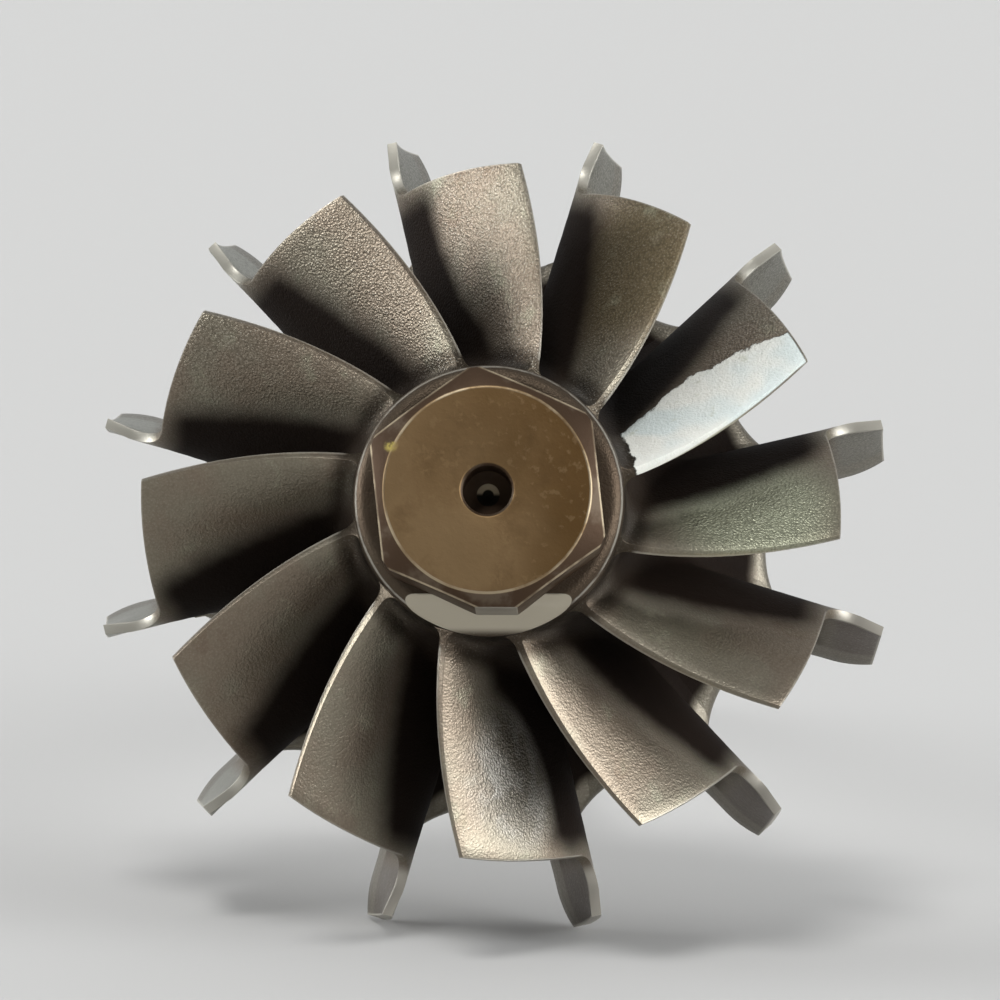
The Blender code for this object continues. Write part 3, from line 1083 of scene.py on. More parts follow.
@dataclass(frozen=True)
class CastFinish:
    """Investment-cast alloy: sandy grain, soot and painted shade in its depths, paler tips and
    worn edges, with painted light, shade and highlights.
    """

    name: str = "cast_alloy"
    form: BladeForm = BladeForm()
    cut: BalanceCut = BalanceCut()
    edges: EdgeWearAndHighlight = EdgeWearAndHighlight()
    blotch: float = 9 * MM
    streak: float = 3.2 * MM
    grain: float = 0.13 * MM
    sand: float = 0.22 * MM
    grain_depth: float = 0.036 * MM
    lumps: float = 0.45 * MM
    lump_depth: float = 0.022 * MM
    gloss: float = 0.06
    body: Colour = (0.228, 0.202, 0.154)
    warm: Colour = (0.222, 0.182, 0.138)
    olive: Colour = (0.106, 0.082, 0.042)
    olive_patch: Patch = Patch(11.0 * MM, 16.0 * MM, 21.0 * MM, 11 * MM)
    # Greenish tint of the right-hand blade, also made lighter: painted light from above and
    # behind.
    green: Colour = (0.400, 0.415, 0.300)
    green_patch: Patch = Patch(22.0 * MM, 15.0 * MM, 1.5 * MM, 10 * MM)
    rusty: Colour = (0.110, 0.050, 0.028)
    rusty_radius: Span = (20 * MM, 27 * MM)
    # Painted highlight: a pale, mottled spot in the middle of the lowest blade, with the
    # near-black pushed deeper there, stands in for a reflection.
    bare: Colour = (0.44, 0.42, 0.38)
    highlight_patch: Patch = Patch(3.4 * MM, 18.0 * MM, -21.8 * MM, 8 * MM)
    highlight_shift: float = 2.6 * MM
    # Painted light: on the top blade the near-black passage is pushed deeper, so the blade stays
    # bright as far in as a reflection reaches.
    lit_patch: Patch = Patch(-1.5 * MM, 17.0 * MM, 23.5 * MM, 9 * MM)
    lit_shift: float = 2.0 * MM
    tip: Colour = (0.220, 0.214, 0.178)
    # Painted shade and light on the tips: darker low down, lighter on the left.
    tip_shaded_low: Colour = (0.138, 0.112, 0.090)
    tip_lit_left: Colour = (0.340, 0.340, 0.290)
    tip_waver: float = 2.5 * MM
    tip_radius: Span = (29.8 * MM, 31.5 * MM)
    tip_station: Span = (22 * MM, 27 * MM)
    tip_shade_height: Span = (-4 * MM, 14 * MM)
    tip_light_side: Span = (-4 * MM, -24 * MM)
    # Soot and painted shade: near-black colour of the passages deep between the blades, where
    # shade falls.
    soot_and_shade: Colour = (0.0095, 0.0056, 0.0036)
    soot_depth: Span = (2.0 * MM, 5.8 * MM)
    soot_radius: Span = (31.5 * MM, 27.5 * MM)
    soot_lean: float = 0.25
    soot_middle: float = 15 * MM
    soot_waver: float = 1.3 * MM
    # Pale colour of worn edges, also used for painted highlights and glints.
    worn_and_lit: Colour = (0.42, 0.40, 0.35)
    rim: Colour = (0.22, 0.20, 0.16)
    rim_station: Span = (34.2 * MM, 35.0 * MM)
    rim_radius: Span = (20 * MM, 22.5 * MM)
    back_station: Span = (36.9 * MM, 37.2 * MM)
    # Painted shade: the blades' roots by the hub are made near-black, where shade falls between
    # them.
    root: Colour = (0.022, 0.015, 0.010)
    root_radius: Span = (14.4 * MM, 12.8 * MM)
    root_station: Span = (7.6 * MM, 8.4 * MM)
    collar: Colour = (0.042, 0.028, 0.018)
    collar_station: Span = (8.6 * MM, 8.0 * MM)
    collar_radius: Span = (12.2 * MM, 11.7 * MM)
    collar_line: float = 6.62 * MM
    collar_line_halves: Span = (0.16 * MM, 0.05 * MM)
    collar_line_waver: float = 0.25 * MM
    ground: Colour = (0.43, 0.39, 0.31)
    coarse_height: Span = (2 * MM, 16 * MM)

    def behind_edge(self, station: Value, radius: Value) -> Value:
        """Distance behind the blades' outlet edge.

        Args:
            station: Station of the point.
            radius: Its distance from the axis.

        Returns:
            The distance along the axis.
        """
        form = self.form
        lean = (form.outlet_tip - form.outlet_root) / (form.outlet_radius - form.hub.radius)
        return station - radius * lean - (form.outlet_root - form.hub.radius * lean)

    def masks(self, graph: Graph, lie: WheelLie, at: WheelPlace) -> CastMasks:
        """Find where the looks of the casting change.

        Args:
            graph: Material that the masks are added to.
            lie: How the wheel lies.
            at: Point of the surface.

        Returns:
            The patterns and masks.
        """
        station, radius = at.station, at.radius
        blotches = graph.noise(self.blotch, 3.0, 0.55)
        streaks = graph.noise(self.streak, 4.0, 0.62, offset=7.3)
        green = self.green_patch.mask(graph, lie)
        green = (green * 0.9 + streaks.step(0.55, 0.75) * 0.3).least(1.0)
        edge = radius + (blotches - 0.5) * self.tip_waver
        # Painted highlight spot on the lowest blade.
        highlight_spot = self.highlight_patch.mask(graph, lie)
        behind = self.behind_edge(station, radius)
        depth = behind - (radius - self.soot_middle) * self.soot_lean
        # Painted light: the near-black is pushed deeper on the top blade.
        depth = depth - self.lit_patch.mask(graph, lie) * self.lit_shift
        # Painted highlight: the near-black also gives way at the lowest blade's spot.
        depth = depth - highlight_spot * self.highlight_shift
        # Painted shade with soot: deep in the passages, behind the outlet edge and below the tips,
        # the colour turns near-black.
        deep = (depth + (streaks - 0.5) * self.soot_waver).step(*self.soot_depth)
        rim = station.step(*self.rim_station) * radius.step(*self.rim_radius)
        back = station.step(*self.back_station)
        sooty_and_shaded = deep * edge.step(*self.soot_radius) * (1 - rim * 0.85) * (1 - back * 0.8)
        collar = station.step(*self.collar_station) * radius.step(*self.collar_radius)
        away = station - self.collar_line + (streaks - 0.5) * self.collar_line_waver
        line = away.near_zero(*self.collar_line_halves) * collar
        line = line * (0.35 + streaks.step(0.38, 0.52) * 0.65)
        return CastMasks(
            blotches=blotches,
            streaks=streaks,
            grain=graph.noise(self.grain, 2.0, 0.6, offset=3.1),
            sand=graph.cells(self.sand, offset=1.7),
            olive=self.olive_patch.mask(graph, lie),
            green=green,
            highlight_spot=highlight_spot,
            pale=edge.step(*self.tip_radius) * station.step(*self.tip_station),
            rim=rim,
            back=back,
            sooty_and_shaded=sooty_and_shaded,
            collar=collar,
            worn_and_lit=self.edges.mask(at, behind, streaks - 0.5).most(line * 0.7),
            ground=self.cut.on_shoulder(graph, at) * collar,
        )

    def skin(self, graph: Graph, at: WheelPlace, masks: CastMasks) -> Socket:
        """Colour of the casting from its body to its worn edges, with its painted shade, light and
        highlights, without its grain.

        Args:
            graph: Material that it is added to.
            at: Point of the surface.
            masks: Where the looks change.

        Returns:
            The colour's socket.
        """
        blotches, streaks, radius = masks.blotches, masks.streaks, at.radius
        colour = graph.mix(blotches.step(0.40, 0.60), self.body, self.warm)
        colour = graph.mix(masks.olive * 0.85, colour, self.olive)
        # Greenish tint, lightened as painted light.
        colour = graph.mix(masks.green, colour, self.green)
        stains = (streaks * blotches).step(0.33, 0.40) * radius.step(*self.rusty_radius)
        colour = graph.mix(stains * 0.25, colour, self.rusty)
        # Painted shade and light: the tips are darker towards the bottom and lighter on the left.
        tip = graph.mix(at.z.step(*self.tip_shade_height), self.tip_shaded_low, self.tip)
        tip = graph.mix(at.x.step(*self.tip_light_side) * 0.8, tip, self.tip_lit_left)
        colour = graph.mix(masks.pale, colour, tip)
        # Painted highlight: pale mottled spot on the lowest blade.
        mottle = 0.30 + streaks.step(0.42, 0.56) * 0.45
        colour = graph.mix(masks.highlight_spot * mottle, colour, self.bare)
        colour = graph.mix(masks.rim * 0.8, colour, self.rim)
        # Soot and painted shade deep in the passages.
        colour = graph.mix(masks.sooty_and_shaded, colour, self.soot_and_shade)
        # Painted shade at the blades' roots by the hub.
        root = radius.step(*self.root_radius) * at.station.step(*self.root_station)
        colour = graph.mix(root * (1 - masks.back) * 0.8, colour, self.root)
        colour = graph.mix(masks.collar * 0.9, colour, self.collar)
        # Worn edges with painted highlights.
        return graph.mix(masks.worn_and_lit * 0.7, colour, self.worn_and_lit)

    def surface(self, graph: Graph, lie: WheelLie) -> tuple[Socket, Value, Value, Socket]:
        """Looks of the bare casting.

        Args:
            graph: Material that they are added to.
            lie: How the wheel lies.

        Returns:
            Colour, roughness, metallic and relief.
        """
        at = graph.wheel_place(lie)
        masks = self.masks(graph, lie, at)
        grain, sand, bare = masks.grain, masks.sand, masks.bare()
        olive, worn_and_lit, ground = masks.olive, masks.worn_and_lit, masks.ground
        colour = self.skin(graph, at, masks)
        coarse = at.z.step(*self.coarse_height).most(masks.green).most(masks.highlight_spot * 0.9)
        pits = sand.step(0.42, 0.75).most(grain.step(0.44, 0.30))
        colour = graph.mix(pits * bare * (0.12 + coarse * 0.22), colour, self.soot_and_shade)
        glint = grain.step(0.50, 0.62) * sand.step(0.50, 0.2) * bare * (1 - olive * 0.6)
        colour = graph.mix(glint * (0.16 + coarse * 0.40), colour, self.worn_and_lit)
        colour = graph.mix(ground, colour, self.ground)
        roughness = 0.30 + masks.streaks * 0.16 + masks.sooty_and_shaded * 0.3 - glint * 0.08 + olive * 0.12
        roughness = roughness * (1 - ground) + ground * 0.38
        metallic = 1 - olive * 0.35 - masks.collar * 0.3 * (1 - ground)
        metallic = metallic * (1 - masks.sooty_and_shaded) * (1 - worn_and_lit * 0.5)
        height = (grain * 0.8 - sand * 0.7) * (1 - ground)
        height = height * (1 - worn_and_lit * 0.8) * (1 - masks.pale * 0.5)
        relief = graph.bump(height * (0.8 + coarse * 1.1), self.grain_depth)
        lumps = graph.noise(self.lumps, offset=9.4) * (1 - ground) * (1 - worn_and_lit)
        relief = graph.bump(lumps, self.lump_depth, 0.8, relief)
        return colour, roughness, metallic, relief

    def build(self, lie: WheelLie) -> Material:
        """Build the material of the bare casting."""
        graph = Graph(bpy.data.materials.new(self.name))
        return graph.finish(*self.surface(graph, lie), self.gloss)


@dataclass(frozen=True)
class PaintedCastFinish:
    """Casting with a brushed patch of pale marking paint on one blade."""

    name: str = "marked_cast"
    cast: CastFinish = CastFinish()
    paint: Colour = (0.60, 0.655, 0.635)
    paint_shade: Colour = (0.70, 0.70, 0.645)
    gloss: float = 0.15
    rear_station: Span = (16.12 * MM, 16.0 * MM)
    inner_radius: Span = (12.6 * MM, 12.85 * MM)
    outer_radius: Span = (29.75 * MM, 29.62 * MM)
    turn_radius: float = 18.0 * MM
    turn_slope: float = 0.45
    ragged_size: float = 1.3 * MM
    ragged_rear: float = 1.2 * MM
    ragged_inner: float = 1.4 * MM
    ragged_edge: float = 0.2 * MM
    wavy_size: float = 5 * MM
    wavy_rear: float = 2.2 * MM
    edge_depth: Span = (0.40 * MM, 0.30 * MM)
    edge_facing: Span = (-0.78, -0.70)
    side_facing: Span = (0.1, 0.2)
    brush_size: float = 1.1 * MM
    tone_size: float = 7 * MM
    thickness: float = 0.12 * MM

    def painted(self, graph: Graph, at: WheelPlace) -> Value:
        """Mask of the paint, with a ragged edge.

        Args:
            graph: Material that it is added to.
            at: Point of the surface.

        Returns:
            The mask.
        """
        station, radius = at.station, at.radius
        ragged = graph.noise(self.ragged_size, 4.0, 0.65, offset=5.2) - 0.5
        wavy = graph.noise(self.wavy_size, offset=1.2) - 0.5
        inward = (self.turn_radius - radius).most(0.0) * self.turn_slope
        reach = station + ragged * self.ragged_rear + wavy * self.wavy_rear + inward
        inner = (radius + ragged * self.ragged_inner).step(*self.inner_radius)
        behind = self.cast.behind_edge(station, radius) + ragged * self.ragged_edge
        edge_face = behind.step(*self.edge_depth) * at.swirl().step(*self.edge_facing)
        face = at.swirl().step(*self.side_facing).most(edge_face)
        return reach.step(*self.rear_station) * inner * radius.step(*self.outer_radius) * face

    def build(self, lie: WheelLie) -> Material:
        """Build the material of the marked blade.

        Args:
            lie: How the wheel lies.

        Returns:
            The material.
        """
        graph = Graph(bpy.data.materials.new(self.name))
        colour, roughness, metallic, relief = self.cast.surface(graph, lie)
        painted = self.painted(graph, graph.wheel_place(lie))
        brush = graph.noise(self.brush_size, 4.0, 0.6, offset=2.4)
        tone = graph.noise(self.tone_size, offset=6.1)
        coat = graph.mix(tone.step(0.42, 0.58), self.paint, self.paint_shade)
        coat = graph.mix(brush.step(0.60, 0.74) * 0.5, coat, self.cast.green)
        colour = graph.mix(painted, colour, coat)
        roughness = roughness * (1 - painted) + painted * (0.36 + brush * 0.2)
        metallic = metallic * (1 - painted)
        relief = graph.bump(painted + brush * painted * 0.8, self.thickness, 1.0, relief)
        return graph.finish(colour, roughness, metallic, relief, self.gloss)


@dataclass(frozen=True)
class NoseFinish:
    """Machined hexagon, heat-browned, with a bronze face, painted light at its left and bottom,
    painted highlights on its rims and painted shade in its hole.
    """

    name: str = "machined_nose"
    cut: BalanceCut = BalanceCut()
    gloss: float = 0.2
    blotch: float = 4 * MM
    cloud: float = 9 * MM
    fine: float = 0.8 * MM
    fine_depth: float = 0.035 * MM
    tooth: float = 0.25 * MM
    tooth_depth: float = 0.014 * MM
    face: Colour = (0.108, 0.060, 0.021)
    # Lighter olive of the face, for its flecks and for the painted light at its left and bottom.
    face_olive_and_lit: Colour = (0.205, 0.134, 0.066)
    face_dark: Colour = (0.078, 0.044, 0.017)
    face_span: Span = (7 * MM, -7 * MM)
    face_waver: float = 14 * MM
    back_station: Span = (0.03 * MM, 0.10 * MM)
    sides: Colour = (0.046, 0.027, 0.015)
    grey: Colour = (0.090, 0.066, 0.045)
    # Colour of the painted highlights and reflection.
    highlight_tone: Colour = (0.42, 0.35, 0.24)
    rim_radius: float = NOSE_RADIUS
    rim_waver: float = 0.10 * MM
    rim_halves: Span = (0.14 * MM, 0.06 * MM)
    chamfer: float = NOSE_CHAMFER
    chamfer_halves: Span = (0.16 * MM, 0.08 * MM)
    chamfer_reach: Span = (9.16 * MM, 9.26 * MM)
    flat_angles: tuple[float, ...] = (8.6, 68.6, 128.6)
    hole_radius: Span = (2.12 * MM, 2.0 * MM)
    hole_station: Span = (0.3 * MM, 1.2 * MM)
    # Near-black of the painted shade at the hole's bottom.
    bottom: Colour = (0.012, 0.010, 0.006)
    bottom_radius: Span = (1.0 * MM, 0.9 * MM)
    bottom_station: Span = (3.6 * MM, 3.9 * MM)
    arch_radius: Span = (0.40 * MM, 0.55 * MM)
    arch_height: Span = (-0.1 * MM, 0.25 * MM)
    dirt: Colour = (0.30, 0.24, 0.06)
    dirt_patch: Patch = Patch(-8.15 * MM, 0.3 * MM, 3.4 * MM, 0.75 * MM)
    ground: Colour = (0.30, 0.275, 0.23)

    def chamfer_edge(self, at: WheelPlace) -> Value:
        """Mask of the edge between the chamfer and the hexagon's flats.

        Args:
            at: Point of the surface.

        Returns:
            The mask.
        """
        cone = at.station - (at.radius - self.rim_radius) * math.tan(self.chamfer)
        reaches = [at.along(math.radians(angle)) for angle in self.flat_angles]
        first, second, third = (reach * reach for reach in reaches)
        flat = first.most(second).most(third).root()
        return cone.near_zero(*self.chamfer_halves) * flat.step(*self.chamfer_reach)

    def build(self, lie: WheelLie) -> Material:
        """Build the material of the nose.

        Args:
            lie: How the wheel lies.

        Returns:
            The material.
        """
        graph = Graph(bpy.data.materials.new(self.name))
        at = graph.wheel_place(lie)
        station, radius = at.station, at.radius
        blotches = graph.noise(self.blotch, 4.0, 0.6)
        cloud = graph.noise(self.cloud, offset=2.9)
        fine = graph.noise(self.fine, 3.0, 0.6, offset=4.4)
        # Painted light: the face is lighter and more olive towards the left and the bottom.
        shaded = at.x * 0.8 + at.z * 0.35 + (cloud - 0.5) * self.face_waver
        face = graph.mix(shaded.step(*self.face_span), self.face, self.face_olive_and_lit)
        face = graph.mix(blotches.step(0.48, 0.74) * 0.5, face, self.face_dark)
        face = graph.mix(fine.step(0.56, 0.68) * 0.5, face, self.face_olive_and_lit)
        sides = graph.mix(blotches.step(0.50, 0.66), self.sides, self.grey)
        back = station.step(*self.back_station)
        colour = graph.mix(back, face, sides)
        # Painted highlights: bright lines along the face's rim and the chamfer's edge.
        away = radius - self.rim_radius
        rim = ((away + (fine - 0.5) * self.rim_waver) * away).step(
            *(half**2 for half in self.rim_halves)
        )
        patchy = blotches.step(0.40, 0.60)
        colour = graph.mix(rim * (0.15 + patchy * 0.6), colour, self.highlight_tone)
        edge = self.chamfer_edge(at)
        colour = graph.mix(edge * (0.15 + patchy * 0.5), colour, self.highlight_tone)
        # Painted shade: the drilled hole is darker inside, and near-black at its bottom.
        hole = radius.step(*self.hole_radius) * station.step(*self.hole_station)
        colour = graph.mix(hole * 0.7, colour, self.sides)
        bottom = radius.step(*self.bottom_radius) * station.step(*self.bottom_station)
        colour = graph.mix(bottom, colour, self.bottom)
        # Painted reflection: a pale arch in the hole's bottom.
        reflected_arch = radius.step(*self.arch_radius) * at.z.step(*self.arch_height)
        colour = graph.mix(bottom * reflected_arch, colour, self.highlight_tone)
        colour = graph.mix(self.cut.on_corner(graph, at), colour, self.ground)
        dirt = self.dirt_patch.mask(graph, lie)
        colour = graph.mix(dirt * fine.step(0.35, 0.6), colour, self.dirt)
        roughness = 0.34 + blotches * 0.2 + dirt * 0.3 + back * 0.06
        metallic = 0.75 - back * 0.15 + rim * 0.2 - dirt * 0.6
        relief = graph.bump(fine, self.fine_depth, 0.7)
        relief = graph.bump(graph.noise(self.tooth, offset=8.8), self.tooth_depth, 0.8, relief)
        return graph.finish(colour, roughness, metallic, relief, self.gloss)


@dataclass(frozen=True)
class GroundSteelFinish:
    """Ground steel shaft with faint rings, oil stain and a blued band at its weld."""

    name: str = "ground_steel"
    steel: Colour = (0.40, 0.385, 0.36)
    stain: Colour = (0.30, 0.25, 0.19)
    straw: Colour = (0.40, 0.28, 0.14)
    straw_end: Span = (64 * MM, 56 * MM)
    blue: Colour = (0.105, 0.105, 0.135)
    blue_end: Span = (58 * MM, 54 * MM)
    heat_waver: float = 4 * MM
    blotch: float = 8 * MM
    speck: float = 0.7 * MM
    speck_depth: float = 0.01 * MM
    ring_scale: float = 900.0
    ring_depth: float = 0.004 * MM

    def build(self, lie: WheelLie) -> Material:
        """Build the material of the shaft.

        Args:
            lie: How the wheel lies.

        Returns:
            The material.
        """
        graph = Graph(bpy.data.materials.new(self.name))
        at = graph.wheel_place(lie)
        blotches = graph.noise(self.blotch, 4.0, 0.6)
        specks = graph.noise(self.speck, 3.0, 0.65, offset=6.6)
        colour = graph.mix(blotches.step(0.45, 0.7) * 0.55, self.steel, self.stain)
        near = at.station + (blotches - 0.5) * self.heat_waver
        colour = graph.mix(near.step(*self.straw_end), colour, self.straw)
        colour = graph.mix(near.step(*self.blue_end), colour, self.blue)
        colour = graph.mix(specks.step(0.62, 0.75) * 0.6, colour, self.stain)
        roughness = 0.24 + blotches * 0.14 + specks.step(0.6, 0.8) * 0.2
        relief = graph.bump(graph.rings(at, self.ring_scale, 0.6, "SIN"), self.ring_depth, 0.5)
        relief = graph.bump(specks, self.speck_depth, 0.5, relief)
        return graph.finish(colour, roughness, 1.0, relief)


@dataclass(frozen=True)
class TurnedCastFinish:
    """Turned back part of the casting, heat-browned, with tool rings."""

    name: str = "turned_cast"
    body: Colour = (0.26, 0.225, 0.185)
    burnt: Colour = (0.11, 0.085, 0.065)
    groove: Colour = (0.03, 0.025, 0.02)
    groove_radius: Span = (9.2 * MM, 8.4 * MM)
    blotch: float = 4 * MM
    tooth: float = 0.5 * MM
    tooth_depth: float = 0.02 * MM
    ring_scale: float = 640.0
    ring_depth: float = 0.008 * MM

    def build(self, lie: WheelLie) -> Material:
        """Build the material of the boss.

        Args:
            lie: How the wheel lies.

        Returns:
            The material.
        """
        graph = Graph(bpy.data.materials.new(self.name))
        at = graph.wheel_place(lie)
        blotches = graph.noise(self.blotch, 4.0, 0.6, offset=1.1)
        colour = graph.mix(blotches.step(0.35, 0.68), self.body, self.burnt)
        colour = graph.mix(at.radius.step(*self.groove_radius) * 0.7, colour, self.groove)
        relief = graph.bump(graph.rings(at, self.ring_scale, 0.4, "SAW"), self.ring_depth, 0.6)
        relief = graph.bump(graph.noise(self.tooth, 3.0, 0.6), self.tooth_depth, 0.6, relief)
        return graph.finish(colour, 0.34 + blotches * 0.2, 0.9, relief)


@dataclass(frozen=True)
class RingFinish:
    """Dark turned iron of the seal ring."""

    name: str = "ring_iron"
    iron: Colour = (0.16, 0.15, 0.14)
    rust: Colour = (0.16, 0.07, 0.03)
    blotch: float = 1.8 * MM
    tooth: float = 0.3 * MM
    tooth_depth: float = 0.012 * MM

    def build(self) -> Material:
        """Build the material of the ring.

        Returns:
            The material.
        """
        graph = Graph(bpy.data.materials.new(self.name))
        blotches = graph.noise(self.blotch, 4.0, 0.6, offset=3.3)
        colour = graph.mix(blotches.step(0.6, 0.75) * 0.5, self.iron, self.rust)
        relief = graph.bump(graph.noise(self.tooth, 3.0, 0.6), self.tooth_depth, 0.6)
        return graph.finish(colour, 0.32 + blotches * 0.2, 0.95, relief)


@dataclass(frozen=True)
class FloorFinish:
    """Plain pale table."""

    name: str = "pale_table"
    tone: Colour = (0.515, 0.511, 0.500)
    roughness: float = 0.9

    def build(self) -> Material:
        """Build the material of the table."""
        graph = Graph(bpy.data.materials.new(self.name))
        return graph.finish(self.tone, self.roughness, 0.0)


# ---------------------------------------------------------------- pieces


@dataclass
class HexNose:
    """Hexagon for a spanner, bevelled at its face and drilled on its centre."""

    lie: WheelLie
    cut: BalanceCut = BalanceCut()
    across_flats: float = 18.7 * MM
    corner_radius: float = 10.5 * MM
    face_radius: float = NOSE_RADIUS
    chamfer: float = NOSE_CHAMFER
    corner_angle: float = math.radians(38.6)
    depth: float = 7.0 * MM
    hole_radius: float = 2.05 * MM
    hole_depth: float = 4.0 * MM
    mouth: float = 0.25 * MM
    point_radius: float = 0.95 * MM
    point_end_radius: float = 0.38 * MM
    point_depth: float = 0.2 * MM
    past: float = 3.0 * MM
    edge_round: float = 0.16 * MM

    def turning(self) -> Object:
        """Model the turned shape that bounds the hexagon: its face, chamfer and corners.

        Returns:
            The shape.
        """
        rise = (self.corner_radius - self.face_radius) * math.tan(self.chamfer)
        end = self.depth + self.past
        outline = [
            (0, 0),
            (0, self.face_radius),
            (rise, self.corner_radius),
            (end, self.corner_radius),
            (end, 0),
        ]
        return turn_outline("nose_turning", outline, sides=96)

    def drill(self) -> Object:
        """Model the centre drill with the small chamfer of the hole's mouth.

        Returns:
            The drill.
        """
        bottom = self.hole_depth + self.point_depth
        outline = [
            (-self.past, 0),
            (-self.past, self.hole_radius + self.mouth + self.past),
            (self.mouth, self.hole_radius),
            (self.hole_depth, self.hole_radius),
            (self.hole_depth, self.point_radius),
            (bottom, self.point_end_radius),
            (bottom, 0),
        ]
        return turn_outline("nose_drill", outline, sides=64)

    def build(self, material: Material) -> Object:
        """Model the nose and dress it.

        Args:
            material: Its finish.

        Returns:
            The nose.
        """
        radius = self.across_flats / 2 / math.cos(math.radians(30))
        add = bpy.ops.mesh.primitive_cylinder_add
        nose = add_primitive("spanner_nose", add, vertices=6, radius=radius, depth=self.depth)
        turn = Matrix.Rotation(math.radians(90), 4, "X")
        shift = Matrix.Translation((0, self.depth / 2, 0))
        first_corner = math.radians(90)
        spin = Matrix.Rotation(first_corner - self.corner_angle, 4, "Y")
        nose.data.transform(spin @ shift @ turn)
        combine(nose, self.turning(), Join.SHARED)
        combine(nose, self.drill(), Join.CUT)
        self.cut.cut_corner(nose)
        round_edges(nose, self.edge_round, segments=3, angle=24)
        shade(nose)
        place(nose, self.lie, material, Slot.CAST, "hex_nose")
        return nose


@dataclass
class ScallopedHub:
    """Hub and back disc in one piece, with rounded scallops between the blades."""

    lie: WheelLie
    hub: HubForm = HubForm()
    shaft: ShaftForm = ShaftForm()
    scallops: Scallops = Scallops()
    cut: BalanceCut = BalanceCut()
    face_share: float = 0.6
    rim_round: float = 1.1 * MM
    rim_share: float = 0.42
    boss_length: float = 0.12 * MM
    boss_gap: float = 0.02 * MM
    sides: int = 360
    flank_steps: int = 40
    round_steps: int = 6
    shoulder_steps: int = 8
    back_steps: int = 12

    def corner(self, start: Point, corner: Point, end: Point) -> list[Point]:
        """Round a corner.

        Args:
            start: Point before the corner.
            corner: The corner itself.
            end: Point after it.

        Returns:
            Points of the rounding, from start to end.
        """
        points = []
        for step in range(self.round_steps + 1):
            share = step / self.round_steps
            weights = ((1 - share) ** 2, 2 * share * (1 - share), share**2)
            station, radius = (
                sum(weight * part for weight, part in zip(weights, parts))
                for parts in zip(start, corner, end)
            )
            points.append((station, radius))
        return points

    def shoulder(self) -> list[Point]:
        """Outline of the front face and the rounded shoulder beside the hexagon.

        Returns:
            The outline's points.
        """
        hub = self.hub
        inner, size = hub.radius - hub.shoulder_round, hub.shoulder_round
        face = [(hub.nose_end, radius) for radius in (0, inner * self.face_share, inner)]
        rounded = quarter_turn(self.shoulder_steps)[1:]
        return face + [(hub.nose_end + size * rise, inner + size * run) for run, rise in rounded]

    def section(self, angle: float) -> list[Point]:
        """Outline of the piece at an angle about the axis.

        Args:
            angle: Angle about the axis.

        Returns:
            Station and radius of each point, from the nose to behind the disc.
        """
        hub, shaft = self.hub, self.shaft
        rim = self.scallops.rim_at(angle, hub.disc_radius)
        front, back = hub.point(hub.turn_at_radius(rim))[0], hub.back_at(rim)
        rounding = min(self.rim_round, self.rim_share * (back - front))
        edge = rim - rounding
        last = hub.turn_at_radius(edge)
        flank = [hub.point(last * i / self.flank_steps) for i in range(self.flank_steps + 1)]
        points = self.shoulder() + flank
        points += self.corner(flank[-1], (front, rim), (front + rounding, rim))[1:]
        points += self.corner((back - rounding, rim), (back, rim), (hub.back_at(edge), edge))
        fillet = shaft.boss_fillet
        inner = shaft.boss_radius + fillet
        for step in range(1, self.back_steps + 1):
            radius = edge + (inner - edge) * step / self.back_steps
            points.append((hub.back_at(radius), radius))
        start = hub.back_at(inner)
        for run, rise in quarter_turn(self.round_steps)[1:]:
            points.append((start + fillet * run, inner - fillet * rise))
        end = start + fillet + self.boss_length
        return points + [(end, shaft.boss_radius - self.boss_gap), (end, 0)]

    def build(self, material: Material) -> Object:
        """Model the hub and disc and dress them.

        A flat grid is wrapped round the axis in code, because the scallops make every section
        differ, which neither a spin nor a clean Boolean gives.

        Args:
            material: Their finish.

        Returns:
            The hub with its disc.
        """
        sections = [self.section(2 * math.pi * i / self.sides) for i in range(self.sides)]

        def spot(side: int, row: int) -> Point:
            """Point of a section."""
            return sections[side % self.sides][row]

        hub = wrap_grid("hub_and_disc", self.sides, len(sections[0]) - 1, spot)
        self.cut.cut_shoulder(hub)
        shade(hub, angle=38)
        place(hub, self.lie, material, Slot.CAST, "hub", "back_disc")
        return hub


